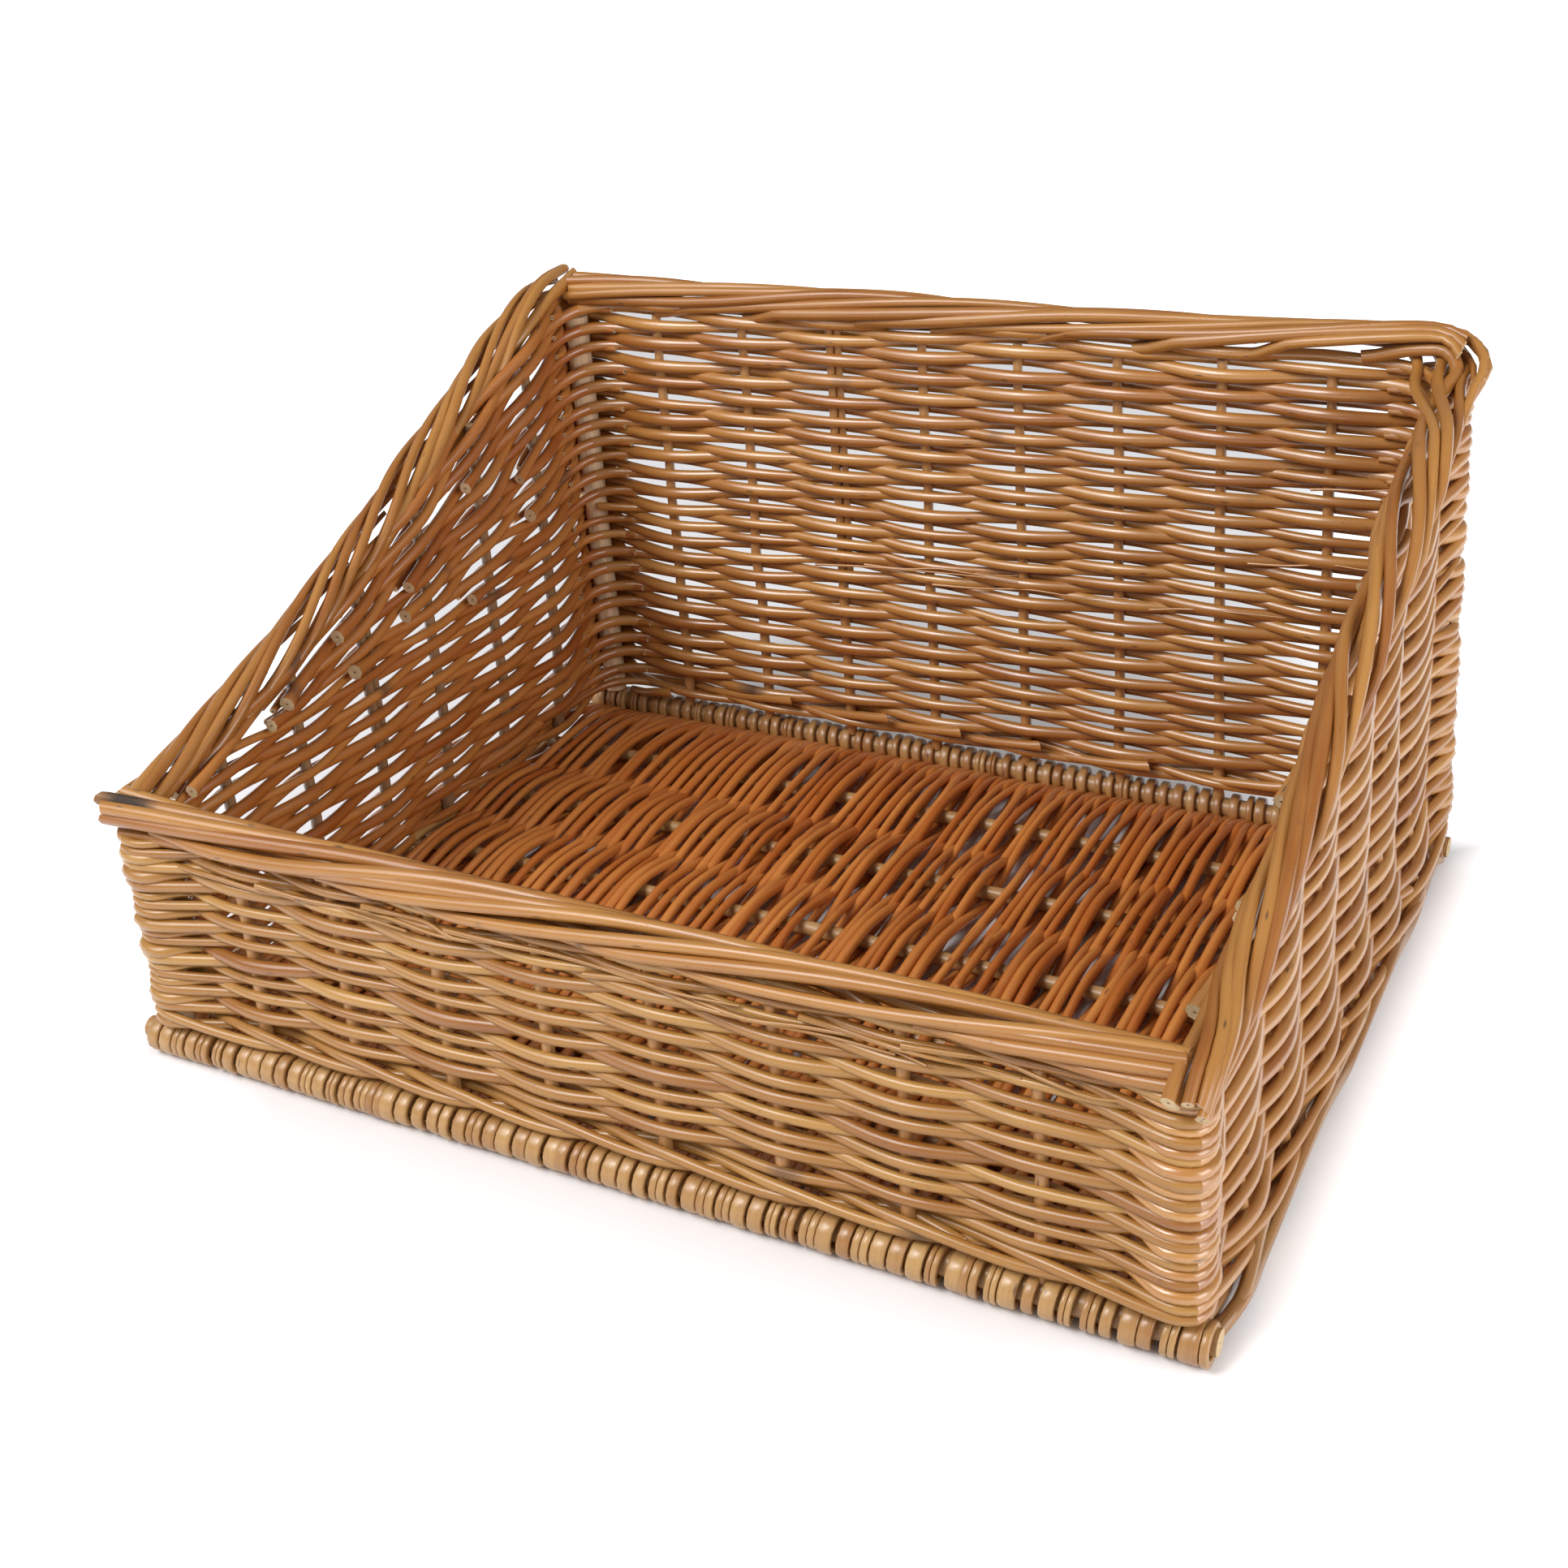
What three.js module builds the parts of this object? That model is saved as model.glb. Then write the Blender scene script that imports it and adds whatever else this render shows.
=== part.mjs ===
// Shelf basket of willow rods: a low front, a high back and sloping sides, with a woven base.
// Millimetres. X is the width, Y the depth with the front at minus Y, Z is up from the floor.
import * as THREE from 'three';

// Overall sizes of the basket
const baseWidth = 500; // length of each edge stick
const baseDepth = 384; // front edge stick to back edge stick, on their centre lines
const frontHeight = 119; // floor to the middle of the front border
const backHeight = 255; // floor to the middle of the back border
const backLean = 12; // how far the back wall leans in at its border
const sideLean = 6; // how far each side leans in at the height of the back border

// Thickness of the sticks and rods
const edgeStick = 10.5;
const baseStick = 7;
const cornerPost = 14;
const stake = 5;
const weaver = 5.2;
const baseWeaver = 4.5;
const borderRod = 8;
const wrapThickness = 3; // a base weaver pressed flat where it wraps an edge stick

// Counts and spacings
const baseSticks = 5; // between the edge sticks
const longWallStakes = 8; // between the corner posts of the front, and of the back
const sideStakes = 6; // between the corner posts of each side
const wrapPitch = 10; // along the edge sticks
const wrapSpace = 1.5; // left open between two wraps
const rowSpace = 1.6; // daylight between two rows of a wall
const borderRods = 3; // in each border
const borderTurn = 210; // length in which the border rods roll once round each other
const borderSteps = 6; // straight lengths in one roll
const borderOverhang = 9; // cut ends past the corner post
const fit = 0.4; // clearance between pieces that bear on one another
const stakeTaper = 0.12; // share of its thickness that a stake loses from butt to tip

// Corners of the sections that stand for round sticks and rods
const edgeStickSides = 10;
const postSides = 8;
const stickSides = 6;
const borderSides = 5;
const weaverSides = 4;

// Colours and sheen of the varnished willow
const tan = 0xc9934f;
const amber = 0xb8783a;
const honey = 0xc08343;
const driftwood = 0xb49b73;
const pale = 0xd6bc85;
const peeledRoughness = 0.5;
const varnishRoughness = 0.4;

// Heights that follow from the sizes
const stickHeight = wrapThickness + fit + edgeStick / 2;
const baseTop = stickHeight + edgeStick / 2 + fit + wrapThickness;
const rowPitch = weaver + rowSpace;
const firstRow = baseTop + fit + weaver / 2;
const strandRadius = (borderRod + fit) / 2 / Math.sin(Math.PI / borderRods) / Math.cos(Math.PI / borderSteps);
const borderRadius = strandRadius + borderRod / 2;

// Places of the posts and of the walls in plan
const wrapReach = cornerPost / 2 + weaver / 2 + 2 * fit;
const postX = baseWidth / 2 - wrapReach - weaver / 2;
const postY = baseDepth / 2;
const turnReach = wrapReach + weaver + 2 * fit;

// Sloping side border: it meets the front and the back border from inside
const sideFront = { y: -postY + 2 * borderRadius + fit, z: frontHeight };
const sideBack = { y: postY - 2 * borderRadius - fit, z: backHeight };
const sideSlope = (sideBack.z - sideFront.z) / (sideBack.y - sideFront.y);
const sideBorderDrop = borderRadius / Math.cos(Math.atan(sideSlope)) + fit;

function sideBorderHeight(y) {
  return sideFront.z + sideSlope * (y - sideFront.y);
}

// The walls lean in a little towards their tops
function leaned(x, y, z) {
  const rise = z / backHeight;
  const depthShare = (y + postY) / baseDepth;
  return new THREE.Vector3(x * (1 - (sideLean / postX) * rise), y - backLean * rise * depthShare, z);
}

// A rod is a path of stations, each with its own width and thickness
class RodPath extends THREE.Curve {
  constructor(stations, across) {
    super();
    this.stations = stations;
    this.across = across;
  }

  getPointAt(u) {
    const last = this.stations.length - 1;
    return this.stations[Math.round(u * last)].at.clone();
  }

  // Directions into and out of a station; an end station has only one
  directionsAt(i) {
    const last = this.stations.length - 1;
    const here = this.stations[i].at;
    const into = i > 0 ? here.clone().sub(this.stations[i - 1].at).normalize() : null;
    const out = i < last ? this.stations[i + 1].at.clone().sub(here).normalize() : into;
    return { into: into ?? out, out };
  }

  // The section is cut square across each bend, so that a rod keeps its thickness round a corner.
  // A pressed rod stays flat along the length that runs square to its given direction.
  computeFrenetFrames() {
    const up = new THREE.Vector3(0, 0, 1);
    const tangents = [];
    const normals = [];
    const binormals = [];
    let carried = null;
    this.stations.forEach((station, i) => {
      const { into, out } = this.directionsAt(i);
      const tangent = into.clone().add(out).normalize();
      const normal = new THREE.Vector3();
      let along = into;
      if (this.across) {
        if (Math.abs(out.dot(this.across)) < Math.abs(into.dot(this.across))) along = out;
        normal.copy(this.across);
      } else {
        normal.crossVectors(tangent, up);
        if (carried) {
          const turn = new THREE.Quaternion().setFromUnitVectors(tangents[i - 1], tangent);
          carried.applyQuaternion(turn);
          if (carried.dot(normal) < 0) normal.negate();
        }
        normal.normalize();
        carried = normal.clone();
      }
      normal.addScaledVector(along, -normal.dot(along)).normalize();
      const binormal = new THREE.Vector3().crossVectors(along, normal);
      normal.multiplyScalar(station.width / 2);
      binormal.multiplyScalar(station.thickness / 2);
      const slant = along.dot(tangent);
      normal.addScaledVector(along, -normal.dot(tangent) / slant);
      binormal.addScaledVector(along, -binormal.dot(tangent) / slant);
      tangents.push(tangent);
      normals.push(normal);
      binormals.push(binormal);
    });
    return { tangents, normals, binormals };
  }
}

function station(at, width, thickness = width) {
  return { at, width, thickness };
}

// Section of a rod with its corners on a circle of unit radius
function roundSection(sides) {
  const shape = new THREE.Shape();
  for (let i = 0; i < sides; i += 1) {
    const angle = (i / sides) * 2 * Math.PI;
    if (i === 0) shape.moveTo(Math.cos(angle), Math.sin(angle));
    else shape.lineTo(Math.cos(angle), Math.sin(angle));
  }
  shape.closePath();
  return shape;
}

// Section with flat faces, for rods that are pressed flat
function flatSection() {
  const shape = new THREE.Shape();
  shape.moveTo(1, 1);
  shape.lineTo(-1, 1);
  shape.lineTo(-1, -1);
  shape.lineTo(1, -1);
  shape.closePath();
  return shape;
}

function rod(stations, section, across = null) {
  const path = new RodPath(stations, across);
  return new THREE.ExtrudeGeometry(section, {
    steps: stations.length - 1,
    extrudePath: path,
    bevelEnabled: false,
  });
}

// The basket is a base, four walls and a rim
const basket = new THREE.Group();
const base = new THREE.Group();
const wallFrame = new THREE.Group();
const wallWork = new THREE.Group();
const rim = new THREE.Group();
basket.add(base, wallFrame, wallWork, rim);

function addPiece(group, name, geometry, colour, roughness) {
  const material = new THREE.MeshStandardMaterial({ color: colour, roughness, metalness: 0 });
  const mesh = new THREE.Mesh(geometry, material);
  mesh.name = name;
  group.add(mesh);
}

// Straight stick between two points, tapering from its first end to its second
function addStick(group, name, from, to, { diameter, taper, sides, colour }) {
  const stations = [station(from, diameter), station(to, diameter * (1 - taper))];
  addPiece(group, name, rod(stations, roundSection(sides)), colour, peeledRoughness);
}

// Evenly spaced places between two ends, the ends left out
function spread(from, to, count) {
  const places = [];
  for (let i = 1; i <= count; i += 1) places.push(from + ((to - from) * i) / (count + 1));
  return places;
}

// Base: two thick edge sticks along the front and back, thinner sticks between them
const stickPlaces = spread(-postY, postY, baseSticks);
const halfBase = baseWidth / 2;
const thickStick = { diameter: edgeStick, taper: 0, sides: edgeStickSides, colour: pale };
const thinStick = { diameter: baseStick, taper: 0, sides: stickSides, colour: pale };
function addBaseStick(name, y, kind) {
  const from = new THREE.Vector3(-halfBase, y, stickHeight);
  const to = new THREE.Vector3(halfBase, y, stickHeight);
  addStick(base, name, from, to, kind);
}
addBaseStick('edge_stick_front', -postY, thickStick);
addBaseStick('edge_stick_back', postY, thickStick);
stickPlaces.forEach((y, i) => addBaseStick(`base_stick_${i + 1}`, y, thinStick));

// Base weave: one rod worked to and fro, over and under the sticks, wrapping each edge stick
function baseWeave() {
  const bandWidth = wrapPitch - wrapSpace;
  const lift = baseStick / 2 + fit + baseWeaver / 2;
  const hug = edgeStick / 2 + fit + wrapThickness / 2;
  const passes = Math.floor((baseWidth - bandWidth) / wrapPitch) + 1;
  const firstX = (-wrapPitch * (passes - 1)) / 2;
  const stations = [];
  const add = (x, y, z, width, thickness) => {
    stations.push(station(new THREE.Vector3(x, y, stickHeight + z), width, thickness));
  };
  let level = 1;
  for (let k = 0; k < passes; k += 1) {
    const x = firstX + k * wrapPitch;
    const outward = k % 2 === 0 ? 1 : -1;
    const order = outward > 0 ? stickPlaces : [...stickPlaces].reverse();
    for (const y of order) {
      level = -level;
      add(x, y, level * lift, baseWeaver, baseWeaver);
    }
    if (k === passes - 1) break;
    level = -level;
    const outside = outward * (postY + hug);
    const inside = outward * (postY - hug);
    const next = x + wrapPitch;
    add(x, inside, level * hug, bandWidth, wrapThickness);
    add(x, outside, level * hug, bandWidth, wrapThickness);
    add(x, outside, -level * hug, bandWidth, wrapThickness);
    add(x, inside, -level * hug, baseWeaver, wrapThickness);
    add(next, inside, level * hug, baseWeaver, wrapThickness);
    add(next, outside, level * hug, bandWidth, wrapThickness);
    add(next, outside, -level * hug, bandWidth, wrapThickness);
    add(next, inside, -level * hug, bandWidth, wrapThickness);
    level = -level;
  }
  return rod(stations, flatSection(), new THREE.Vector3(1, 0, 0));
}
addPiece(base, 'base_weave', baseWeave(), amber, varnishRoughness);

// Border: three rods rolled round one another along the rim
class Border {
  constructor(name, from, to) {
    this.name = name;
    this.from = from;
    const along = to.clone().sub(from);
    this.length = along.length();
    this.forward = along.normalize();
    this.beside = new THREE.Vector3(0, 0, 1).cross(this.forward).normalize();
    this.above = new THREE.Vector3().crossVectors(this.forward, this.beside);
    this.steps = Math.round((this.length / borderTurn) * borderSteps);
  }

  turnAt(rodIndex, step) {
    return (rodIndex / borderRods + step / borderSteps) * 2 * Math.PI;
  }

  // How far the rods reach below the middle line beside a point
  reachBelow(point) {
    const step = (point.clone().sub(this.from).dot(this.forward) / this.length) * this.steps;
    const low = Math.floor(step);
    const share = step - low;
    let reach = 0;
    for (let i = 0; i < borderRods; i += 1) {
      const rise = (1 - share) * Math.sin(this.turnAt(i, low)) + share * Math.sin(this.turnAt(i, low + 1));
      reach = Math.max(reach, borderRod / 2 - strandRadius * rise);
    }
    return reach;
  }

  addRods() {
    for (let i = 0; i < borderRods; i += 1) {
      const stations = [];
      for (let step = 0; step <= this.steps; step += 1) {
        const turn = this.turnAt(i, step);
        const at = this.from.clone().addScaledVector(this.forward, (this.length * step) / this.steps);
        at.addScaledVector(this.beside, strandRadius * Math.cos(turn));
        at.addScaledVector(this.above, strandRadius * Math.sin(turn));
        stations.push(station(at, borderRod));
      }
      const geometry = rod(stations, roundSection(borderSides));
      addPiece(rim, `border_${this.name}_rod_${i + 1}`, geometry, honey, varnishRoughness);
    }
  }
}

function longBorder(name, y, height) {
  const reach = postX + borderOverhang;
  return new Border(name, leaned(-reach, y, height), leaned(reach, y, height));
}

function slopingBorder(name, x) {
  return new Border(name, leaned(x, sideFront.y, sideFront.z), leaned(x, sideBack.y, sideBack.z));
}
const frontBorder = longBorder('front', -postY, frontHeight);
const backBorder = longBorder('back', postY, backHeight);
const leftBorder = slopingBorder('left', -postX);
const rightBorder = slopingBorder('right', postX);

// Walls: u runs along a wall, w stands out from it. At each corner the two walls take turns at the
// post: where one wraps it, the other turns back beside it. An even or odd pair of rows wraps first.
const even = 0;
const odd = 1;
const longPlaces = spread(-postX, postX, longWallStakes);
const sidePlaces = spread(postY, -postY, sideStakes);
const walls = [
  {
    name: 'front', places: longPlaces, start: -postX, finish: postX, lead: 0,
    wrapsStart: even, wrapsFinish: even, height: frontHeight, sloping: false, border: frontBorder,
    at: (u, w, z) => leaned(u, -postY - w, z),
  },
  {
    name: 'back', places: [...longPlaces].reverse(), start: postX, finish: -postX, lead: 0,
    wrapsStart: even, wrapsFinish: even, height: backHeight, sloping: false, border: backBorder,
    at: (u, w, z) => leaned(u, postY + w, z),
  },
  {
    name: 'right', places: sidePlaces, start: postY, finish: -postY, lead: 0,
    wrapsStart: odd, wrapsFinish: odd, height: backHeight, sloping: true,
    at: (u, w, z) => leaned(postX + w, u, z),
  },
  {
    name: 'left', places: sidePlaces, start: postY, finish: -postY, lead: 1,
    wrapsStart: even, wrapsFinish: odd, height: backHeight, sloping: true,
    at: (u, w, z) => leaned(-postX - w, u, z),
  },
];

// Corner posts stand on the wraps of the edge sticks; their cut ends tilt with the lean
const postTilt = ((cornerPost / 2) * (backLean + sideLean)) / backHeight;
const post = { diameter: cornerPost, taper: 0, sides: postSides, colour: driftwood };
for (const [end, y, height] of [['front', -postY, frontHeight], ['back', postY, backHeight]]) {
  for (const [side, x] of [['left', -postX], ['right', postX]]) {
    const foot = leaned(x, y, baseTop + fit + postTilt);
    const top = leaned(x, y, height - borderRadius - fit - postTilt);
    addStick(wallFrame, `corner_post_${end}_${side}`, foot, top, post);
  }
}

// Stakes of a wall stand on the woven base and reach up to the border
function stakeTop(wall, u) {
  if (wall.sloping) return sideBorderHeight(u) - sideBorderDrop;
  return wall.height - wall.border.reachBelow(wall.at(u, 0, wall.height)) - fit;
}
const upright = { diameter: stake, taper: stakeTaper, sides: stickSides, colour: honey };
for (const wall of walls) {
  wall.places.forEach((u, i) => {
    const foot = wall.at(u, 0, baseTop + fit);
    const top = wall.at(u, 0, stakeTop(wall, u));
    addStick(wallFrame, `stake_${wall.name}_${i + 1}`, foot, top, upright);
  });
}

// Weave of a wall: one rod worked to and fro, before one stake and behind the next
function wallWeave(wall) {
  const stand = stake / 2 + weaver / 2 + fit;
  const ahead = Math.sign(wall.finish - wall.start);
  const clearOfStake = stake / 2 + weaver + fit;
  const top = wall.height - borderRadius - fit - weaver / 2;
  const frontTop = frontHeight - borderRadius - fit - weaver / 2;
  const lastRow = Math.floor((top - firstRow) / rowPitch) - wall.lead;
  const stations = [];
  const add = (u, w, z) => stations.push(station(wall.at(u, w, z), weaver));

  // Place where a pair of rows turns below a sloping border, clear of the stakes
  const slopeTurn = (z) => {
    const borderAbove = z + sideBorderDrop + weaver;
    const underRim = sideFront.y + (borderAbove - sideFront.z) / sideSlope;
    let u = Math.max(underRim, wall.finish - ahead * turnReach);
    for (const place of wall.places) {
      if (Math.abs(u - place) < clearOfStake) u = place + clearOfStake;
    }
    return u;
  };

  const wrapPost = (post, way, side, z) => {
    add(post - way * wrapReach, side * wrapReach, z);
    add(post + way * wrapReach, side * wrapReach, z);
    add(post + way * wrapReach, -side * wrapReach, z + rowPitch);
    add(post - way * wrapReach, -side * wrapReach, z + rowPitch);
  };

  const turnBack = (u, z) => {
    add(u, 0, z);
    add(u, 0, z + rowPitch);
  };

  for (let row = -wall.lead; row <= lastRow; row += 1) {
    const z = firstRow + (row + wall.lead) * rowPitch;
    const onward = row % 2 === 0;
    const pairTop = onward ? z + rowPitch : z;
    const underSlope = wall.sloping && pairTop > frontTop;
    const finish = underSlope ? slopeTurn(pairTop) : wall.finish - ahead * turnReach;
    const start = wall.start + ahead * turnReach;
    const worked = wall.places
      .map((u, i) => ({ u, side: (row + i) % 2 === 0 ? 1 : -1 }))
      .filter((place) => !underSlope || place.u > finish);
    if (worked.length === 0) break;
    const order = onward ? worked : [...worked].reverse();
    if (row === -wall.lead) add(onward ? start : finish, 0, z);
    order.forEach((place) => add(place.u, place.side * stand, z));
    const arriving = -order[order.length - 1].side;
    const pair = Math.floor(row / 2) % 2;
    if (row === lastRow) add(onward ? finish : start, 0, z);
    else if (onward && pair === wall.wrapsFinish && !underSlope) wrapPost(wall.finish, ahead, arriving, z);
    else if (onward) turnBack(finish, z);
    else if (pair === wall.wrapsStart) wrapPost(wall.start, -ahead, arriving, z);
    else turnBack(start, z);
  }
  return rod(stations, roundSection(weaverSides));
}
for (const wall of walls) addPiece(wallWork, `weave_${wall.name}`, wallWeave(wall), tan, varnishRoughness);

for (const border of [frontBorder, backBorder, leftBorder, rightBorder]) border.addRods();

// The floor below the middle of the basket is the origin
const bounds = new THREE.Box3().setFromObject(basket);
basket.position.x = -(bounds.min.x + bounds.max.x) / 2;
basket.position.y = -(bounds.min.y + bounds.max.y) / 2;
basket.position.z = -bounds.min.z;

export default basket;
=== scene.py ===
"""Shelf basket of varnished willow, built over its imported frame.

Sizes in the classes are millimetres in the frame's own axes; meshes are written in metres.
"""

import logging
import math
from dataclasses import dataclass, field, replace
from enum import Enum
from typing import ClassVar

import bmesh
import bpy
import numpy as np
from mathutils import Matrix, Vector


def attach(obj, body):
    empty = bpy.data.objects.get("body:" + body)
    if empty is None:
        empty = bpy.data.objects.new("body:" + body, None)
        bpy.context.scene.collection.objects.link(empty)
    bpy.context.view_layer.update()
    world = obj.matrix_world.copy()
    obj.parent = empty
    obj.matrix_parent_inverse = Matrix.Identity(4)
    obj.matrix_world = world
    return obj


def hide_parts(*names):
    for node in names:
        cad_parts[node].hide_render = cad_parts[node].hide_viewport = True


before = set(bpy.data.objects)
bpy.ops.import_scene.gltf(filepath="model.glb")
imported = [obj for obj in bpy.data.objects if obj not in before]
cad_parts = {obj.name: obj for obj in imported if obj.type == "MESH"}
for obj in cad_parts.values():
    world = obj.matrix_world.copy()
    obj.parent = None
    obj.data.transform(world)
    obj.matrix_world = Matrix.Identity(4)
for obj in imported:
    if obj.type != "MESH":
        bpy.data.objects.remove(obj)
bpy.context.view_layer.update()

LOG = logging.getLogger("shelf_basket")
METRES = 0.001
MILLIMETRES = 1000.0
BODY = "root"
UP = np.array([0.0, 0.0, 1.0])
ALONG_X = np.array([1.0, 0.0, 0.0])
TINY = 1e-6
NO_LENGTH = 1e-9
GRAIN_STARTS = 40.0
ANY_PHASE = 6.3
RELIEF_DEPTH = 0.0006
WHITE = (1.0, 1.0, 1.0, 1.0)

Socket = bpy.types.NodeSocket
Values = dict[str | int, object]
Colour = tuple[float, float, float]
Triple = tuple[float, float, float]
Pair = tuple[float, float]


class Side(Enum):
    """The four walls, in the order in which a weaver goes round from the front left post."""

    FRONT = "front"
    RIGHT = "right"
    BACK = "back"
    LEFT = "left"


class Pass(Enum):
    """How a weaver passes an upright."""

    OUTSIDE = 1
    INSIDE = -1


def ramp(value: np.ndarray | float) -> np.ndarray | float:
    """Smooth step of a value held between 0 and 1."""
    held = np.clip(value, 0.0, 1.0)
    return held * held * (3.0 - 2.0 * held)


def unit(vector: np.ndarray) -> np.ndarray:
    """The same direction with a length of one, for one vector or for rows of vectors."""
    return vector / np.maximum(np.linalg.norm(vector, axis=-1, keepdims=True), NO_LENGTH)


def run_of(line: np.ndarray) -> np.ndarray:
    """Distance of each station of a line from its start, along the line."""
    steps = np.linalg.norm(np.diff(line, axis=0), axis=1)
    return np.concatenate([[0.0], np.cumsum(steps)])


def grain_start(rng: np.random.Generator) -> float:
    """A place in the grain for a new rod, so that no two rods show the same streaks."""
    return rng.uniform(0, GRAIN_STARTS)


def smooth_line(points: np.ndarray, step: float) -> tuple[np.ndarray, np.ndarray]:
    """Runs a smooth line through given points.

    Args:
        points: The places that the line goes through, one per row.
        step: The longest distance between two stations of the line.

    Returns:
        The stations of the line, and for each its place in the list of points, as a share between two.
    """
    chords = np.linalg.norm(np.diff(points, axis=0), axis=1)
    gaps = np.sqrt(np.maximum(chords, TINY))
    pulls = np.empty_like(points)
    speeds = np.diff(points, axis=0) / gaps[:, None]
    both = (gaps[:-1] + gaps[1:])[:, None]
    pulls[1:-1] = speeds[:-1] + speeds[1:] - (points[2:] - points[:-2]) / both
    pulls[0], pulls[-1] = speeds[0], speeds[-1]
    counts = np.maximum(np.ceil(chords / step).astype(int), 1)
    place = np.concatenate([i + np.arange(n) / n for i, n in enumerate(counts)] + [[float(len(chords))]])
    first = np.minimum(place.astype(int), len(chords) - 1)
    t = (place - first)[:, None]
    gap = gaps[first][:, None]
    stations = ((2 * t**3 - 3 * t**2 + 1) * points[first] + (t**3 - 2 * t**2 + t) * gap * pulls[first]
                + (3 * t**2 - 2 * t**3) * points[first + 1] + (t**3 - t**2) * gap * pulls[first + 1])
    return stations, place


@dataclass(frozen=True)
class Plan:
    """Main sizes of the basket, as its frame has them, and how far its corners are out of true."""

    post_x: float = 237.0
    post_y: float = 192.0
    front_height: float = 119.0
    back_height: float = 255.0
    back_lean: float = 12.0
    side_lean: float = 6.0
    frame_shift: float = 0.48
    front_left_in: float = 7.5
    front_left_belly: float = 0.3
    front_left_top: float = 115.0
    back_right_lean: float = 4.0
    base_width: float = 500.0
    flare: float = 5.5
    flare_ends: float = 24.0
    flare_low: float = 14.0
    flare_fade: float = 46.0
    stick_height: float = 8.65
    base_top: float = 17.3
    stake: float = 6.0
    post: float = 13.0
    post_hug: float = 5.9
    long_stakes: int = 8
    side_stakes: int = 6
    slope: tuple[Pair, ...] = (
        (-205.0, 114.0), (-178.0, 118.5), (-150.0, 129.0), (-84.0, 151.0), (-23.0, 175.0), (42.0, 203.5),
        (110.0, 233.0), (150.0, 249.5), (192.0, 256.0))

    def leaned(self, x: float, y: float, z: float) -> np.ndarray:
        """Leans a point of the upright plan, because the walls come in towards their tops.

        Args:
            x: Its place across the basket.
            y: Its depth.
            z: Its height above the floor.

        Returns:
            Its place in the frame.
        """
        rise = z / self.back_height
        share = (y + self.post_y) / (2 * self.post_y)
        front_left = float(np.clip(-x / self.post_x, 0, 1) * np.clip(1 - share, 0, 1) ** 2)
        back_right = float(np.clip(x / self.post_x, 0, 1) * np.clip(share, 0, 1) ** 2)
        belly = self.front_left_belly * math.sin(math.pi * min(z / self.front_left_top, 1.0))
        lean_x = x * (1 - self.side_lean / self.post_x * rise)
        lean_x += self.front_left_in * (1 + belly) * front_left
        lean_x += self.back_right_lean * (0.5 - rise) * back_right
        return np.array([lean_x, y - self.back_lean * rise * share + self.frame_shift, z])

    def slope_height(self, y: float) -> float:
        """Height of the middle of a side border above a depth."""
        ys, zs = zip(*self.slope)
        return float(np.interp(y, ys, zs))


PLAN = Plan()


@dataclass
class Rod:
    """One rod of willow: stations along its middle, with the section and the wear at each."""

    PER_STATION: ClassVar[tuple[str, ...]] = ("wide", "deep", "tone", "stain", "pressed")
    SQUARENESS: ClassVar[float] = 0.78

    line: np.ndarray
    wide: np.ndarray | float
    deep: np.ndarray | float
    across: np.ndarray
    tone: np.ndarray | float = 0.5
    seed: float = 0.0
    stain: np.ndarray | float = 0.0
    slant: Pair = (0.0, 0.0)
    sides: int = 8
    pressed: np.ndarray | float = 0.0
    skin: int = 0
    tangent: np.ndarray | None = None
    run: np.ndarray | None = None

    def __post_init__(self) -> None:
        """Gives each station its values, and works out directions and lengths that aren't given."""
        for name in self.PER_STATION:
            setattr(self, name, np.broadcast_to(np.asarray(getattr(self, name), float), len(self.line)))
        if self.tangent is None:
            self.tangent = unit(np.gradient(self.line, axis=0))
        if self.run is None:
            self.run = run_of(self.line)

    @classmethod
    def tapered(cls, points: list[np.ndarray], step: float, thick: Pair, tone: float, seed: float,
                **more: object) -> "Rod":
        """Makes a round rod through given places, thinned evenly from one end to the other.

        Args:
            points: The places that it goes through.
            step: The longest distance between two of its stations.
            thick: Its thickness at its two ends.
            tone: Its lightness.
            seed: Its place in the grain.
            more: Other values of the rod.

        Returns:
            The rod.
        """
        line, place = smooth_line(np.array(points), step)
        size = thick[0] + (thick[1] - thick[0]) * place / place[-1]
        return cls(line, size, size, UP, tone, seed, **more)

    def cut(self, first: int, last: int) -> "Rod":
        """The length of this rod between two of its stations, both kept.

        Args:
            first: Number of the first station kept.
            last: Number of the last station kept.

        Returns:
            A rod that meets its other lengths without a seam.
        """
        cuts = (*self.PER_STATION, "line", "tangent", "run")
        return replace(self, **{name: getattr(self, name)[first:last + 1] for name in cuts})

    def stations(self, green: np.ndarray) -> np.ndarray:
        """Number of the station that each corner of a straight rod belongs to."""
        return np.rint(green[:, 2] * (len(self.line) - 1)).astype(int)

    def bend(self, green: np.ndarray) -> tuple[np.ndarray, np.ndarray]:
        """Bends a straight rod of unit radius to this rod's line.

        Args:
            green: Corners of the straight rod; its third column runs from 0 to 1.

        Returns:
            The bent corners, and where each was on the straight rod at its true thickness.
        """
        station = self.stations(green)
        beside = unit(self.across - (self.tangent @ self.across)[:, None] * self.tangent)
        above = np.cross(self.tangent, beside)
        power = 1.0 - self.SQUARENESS * self.pressed[station]
        flat = np.sign(green[:, 0]) * np.abs(green[:, 0]) ** power * self.wide[station] / 2
        rise = np.sign(green[:, 1]) * np.abs(green[:, 1]) ** power * self.deep[station] / 2
        bent = self.line[station] + beside[station] * flat[:, None] + above[station] * rise[:, None]
        is_last = station == len(self.line) - 1
        lean = np.where(station == 0, self.slant[0], np.where(is_last, self.slant[1], 0.0))
        bent = bent + self.tangent[station] * (lean * rise)[:, None]
        straight = np.column_stack([flat, rise, self.run[station]])
        return bent, straight


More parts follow.
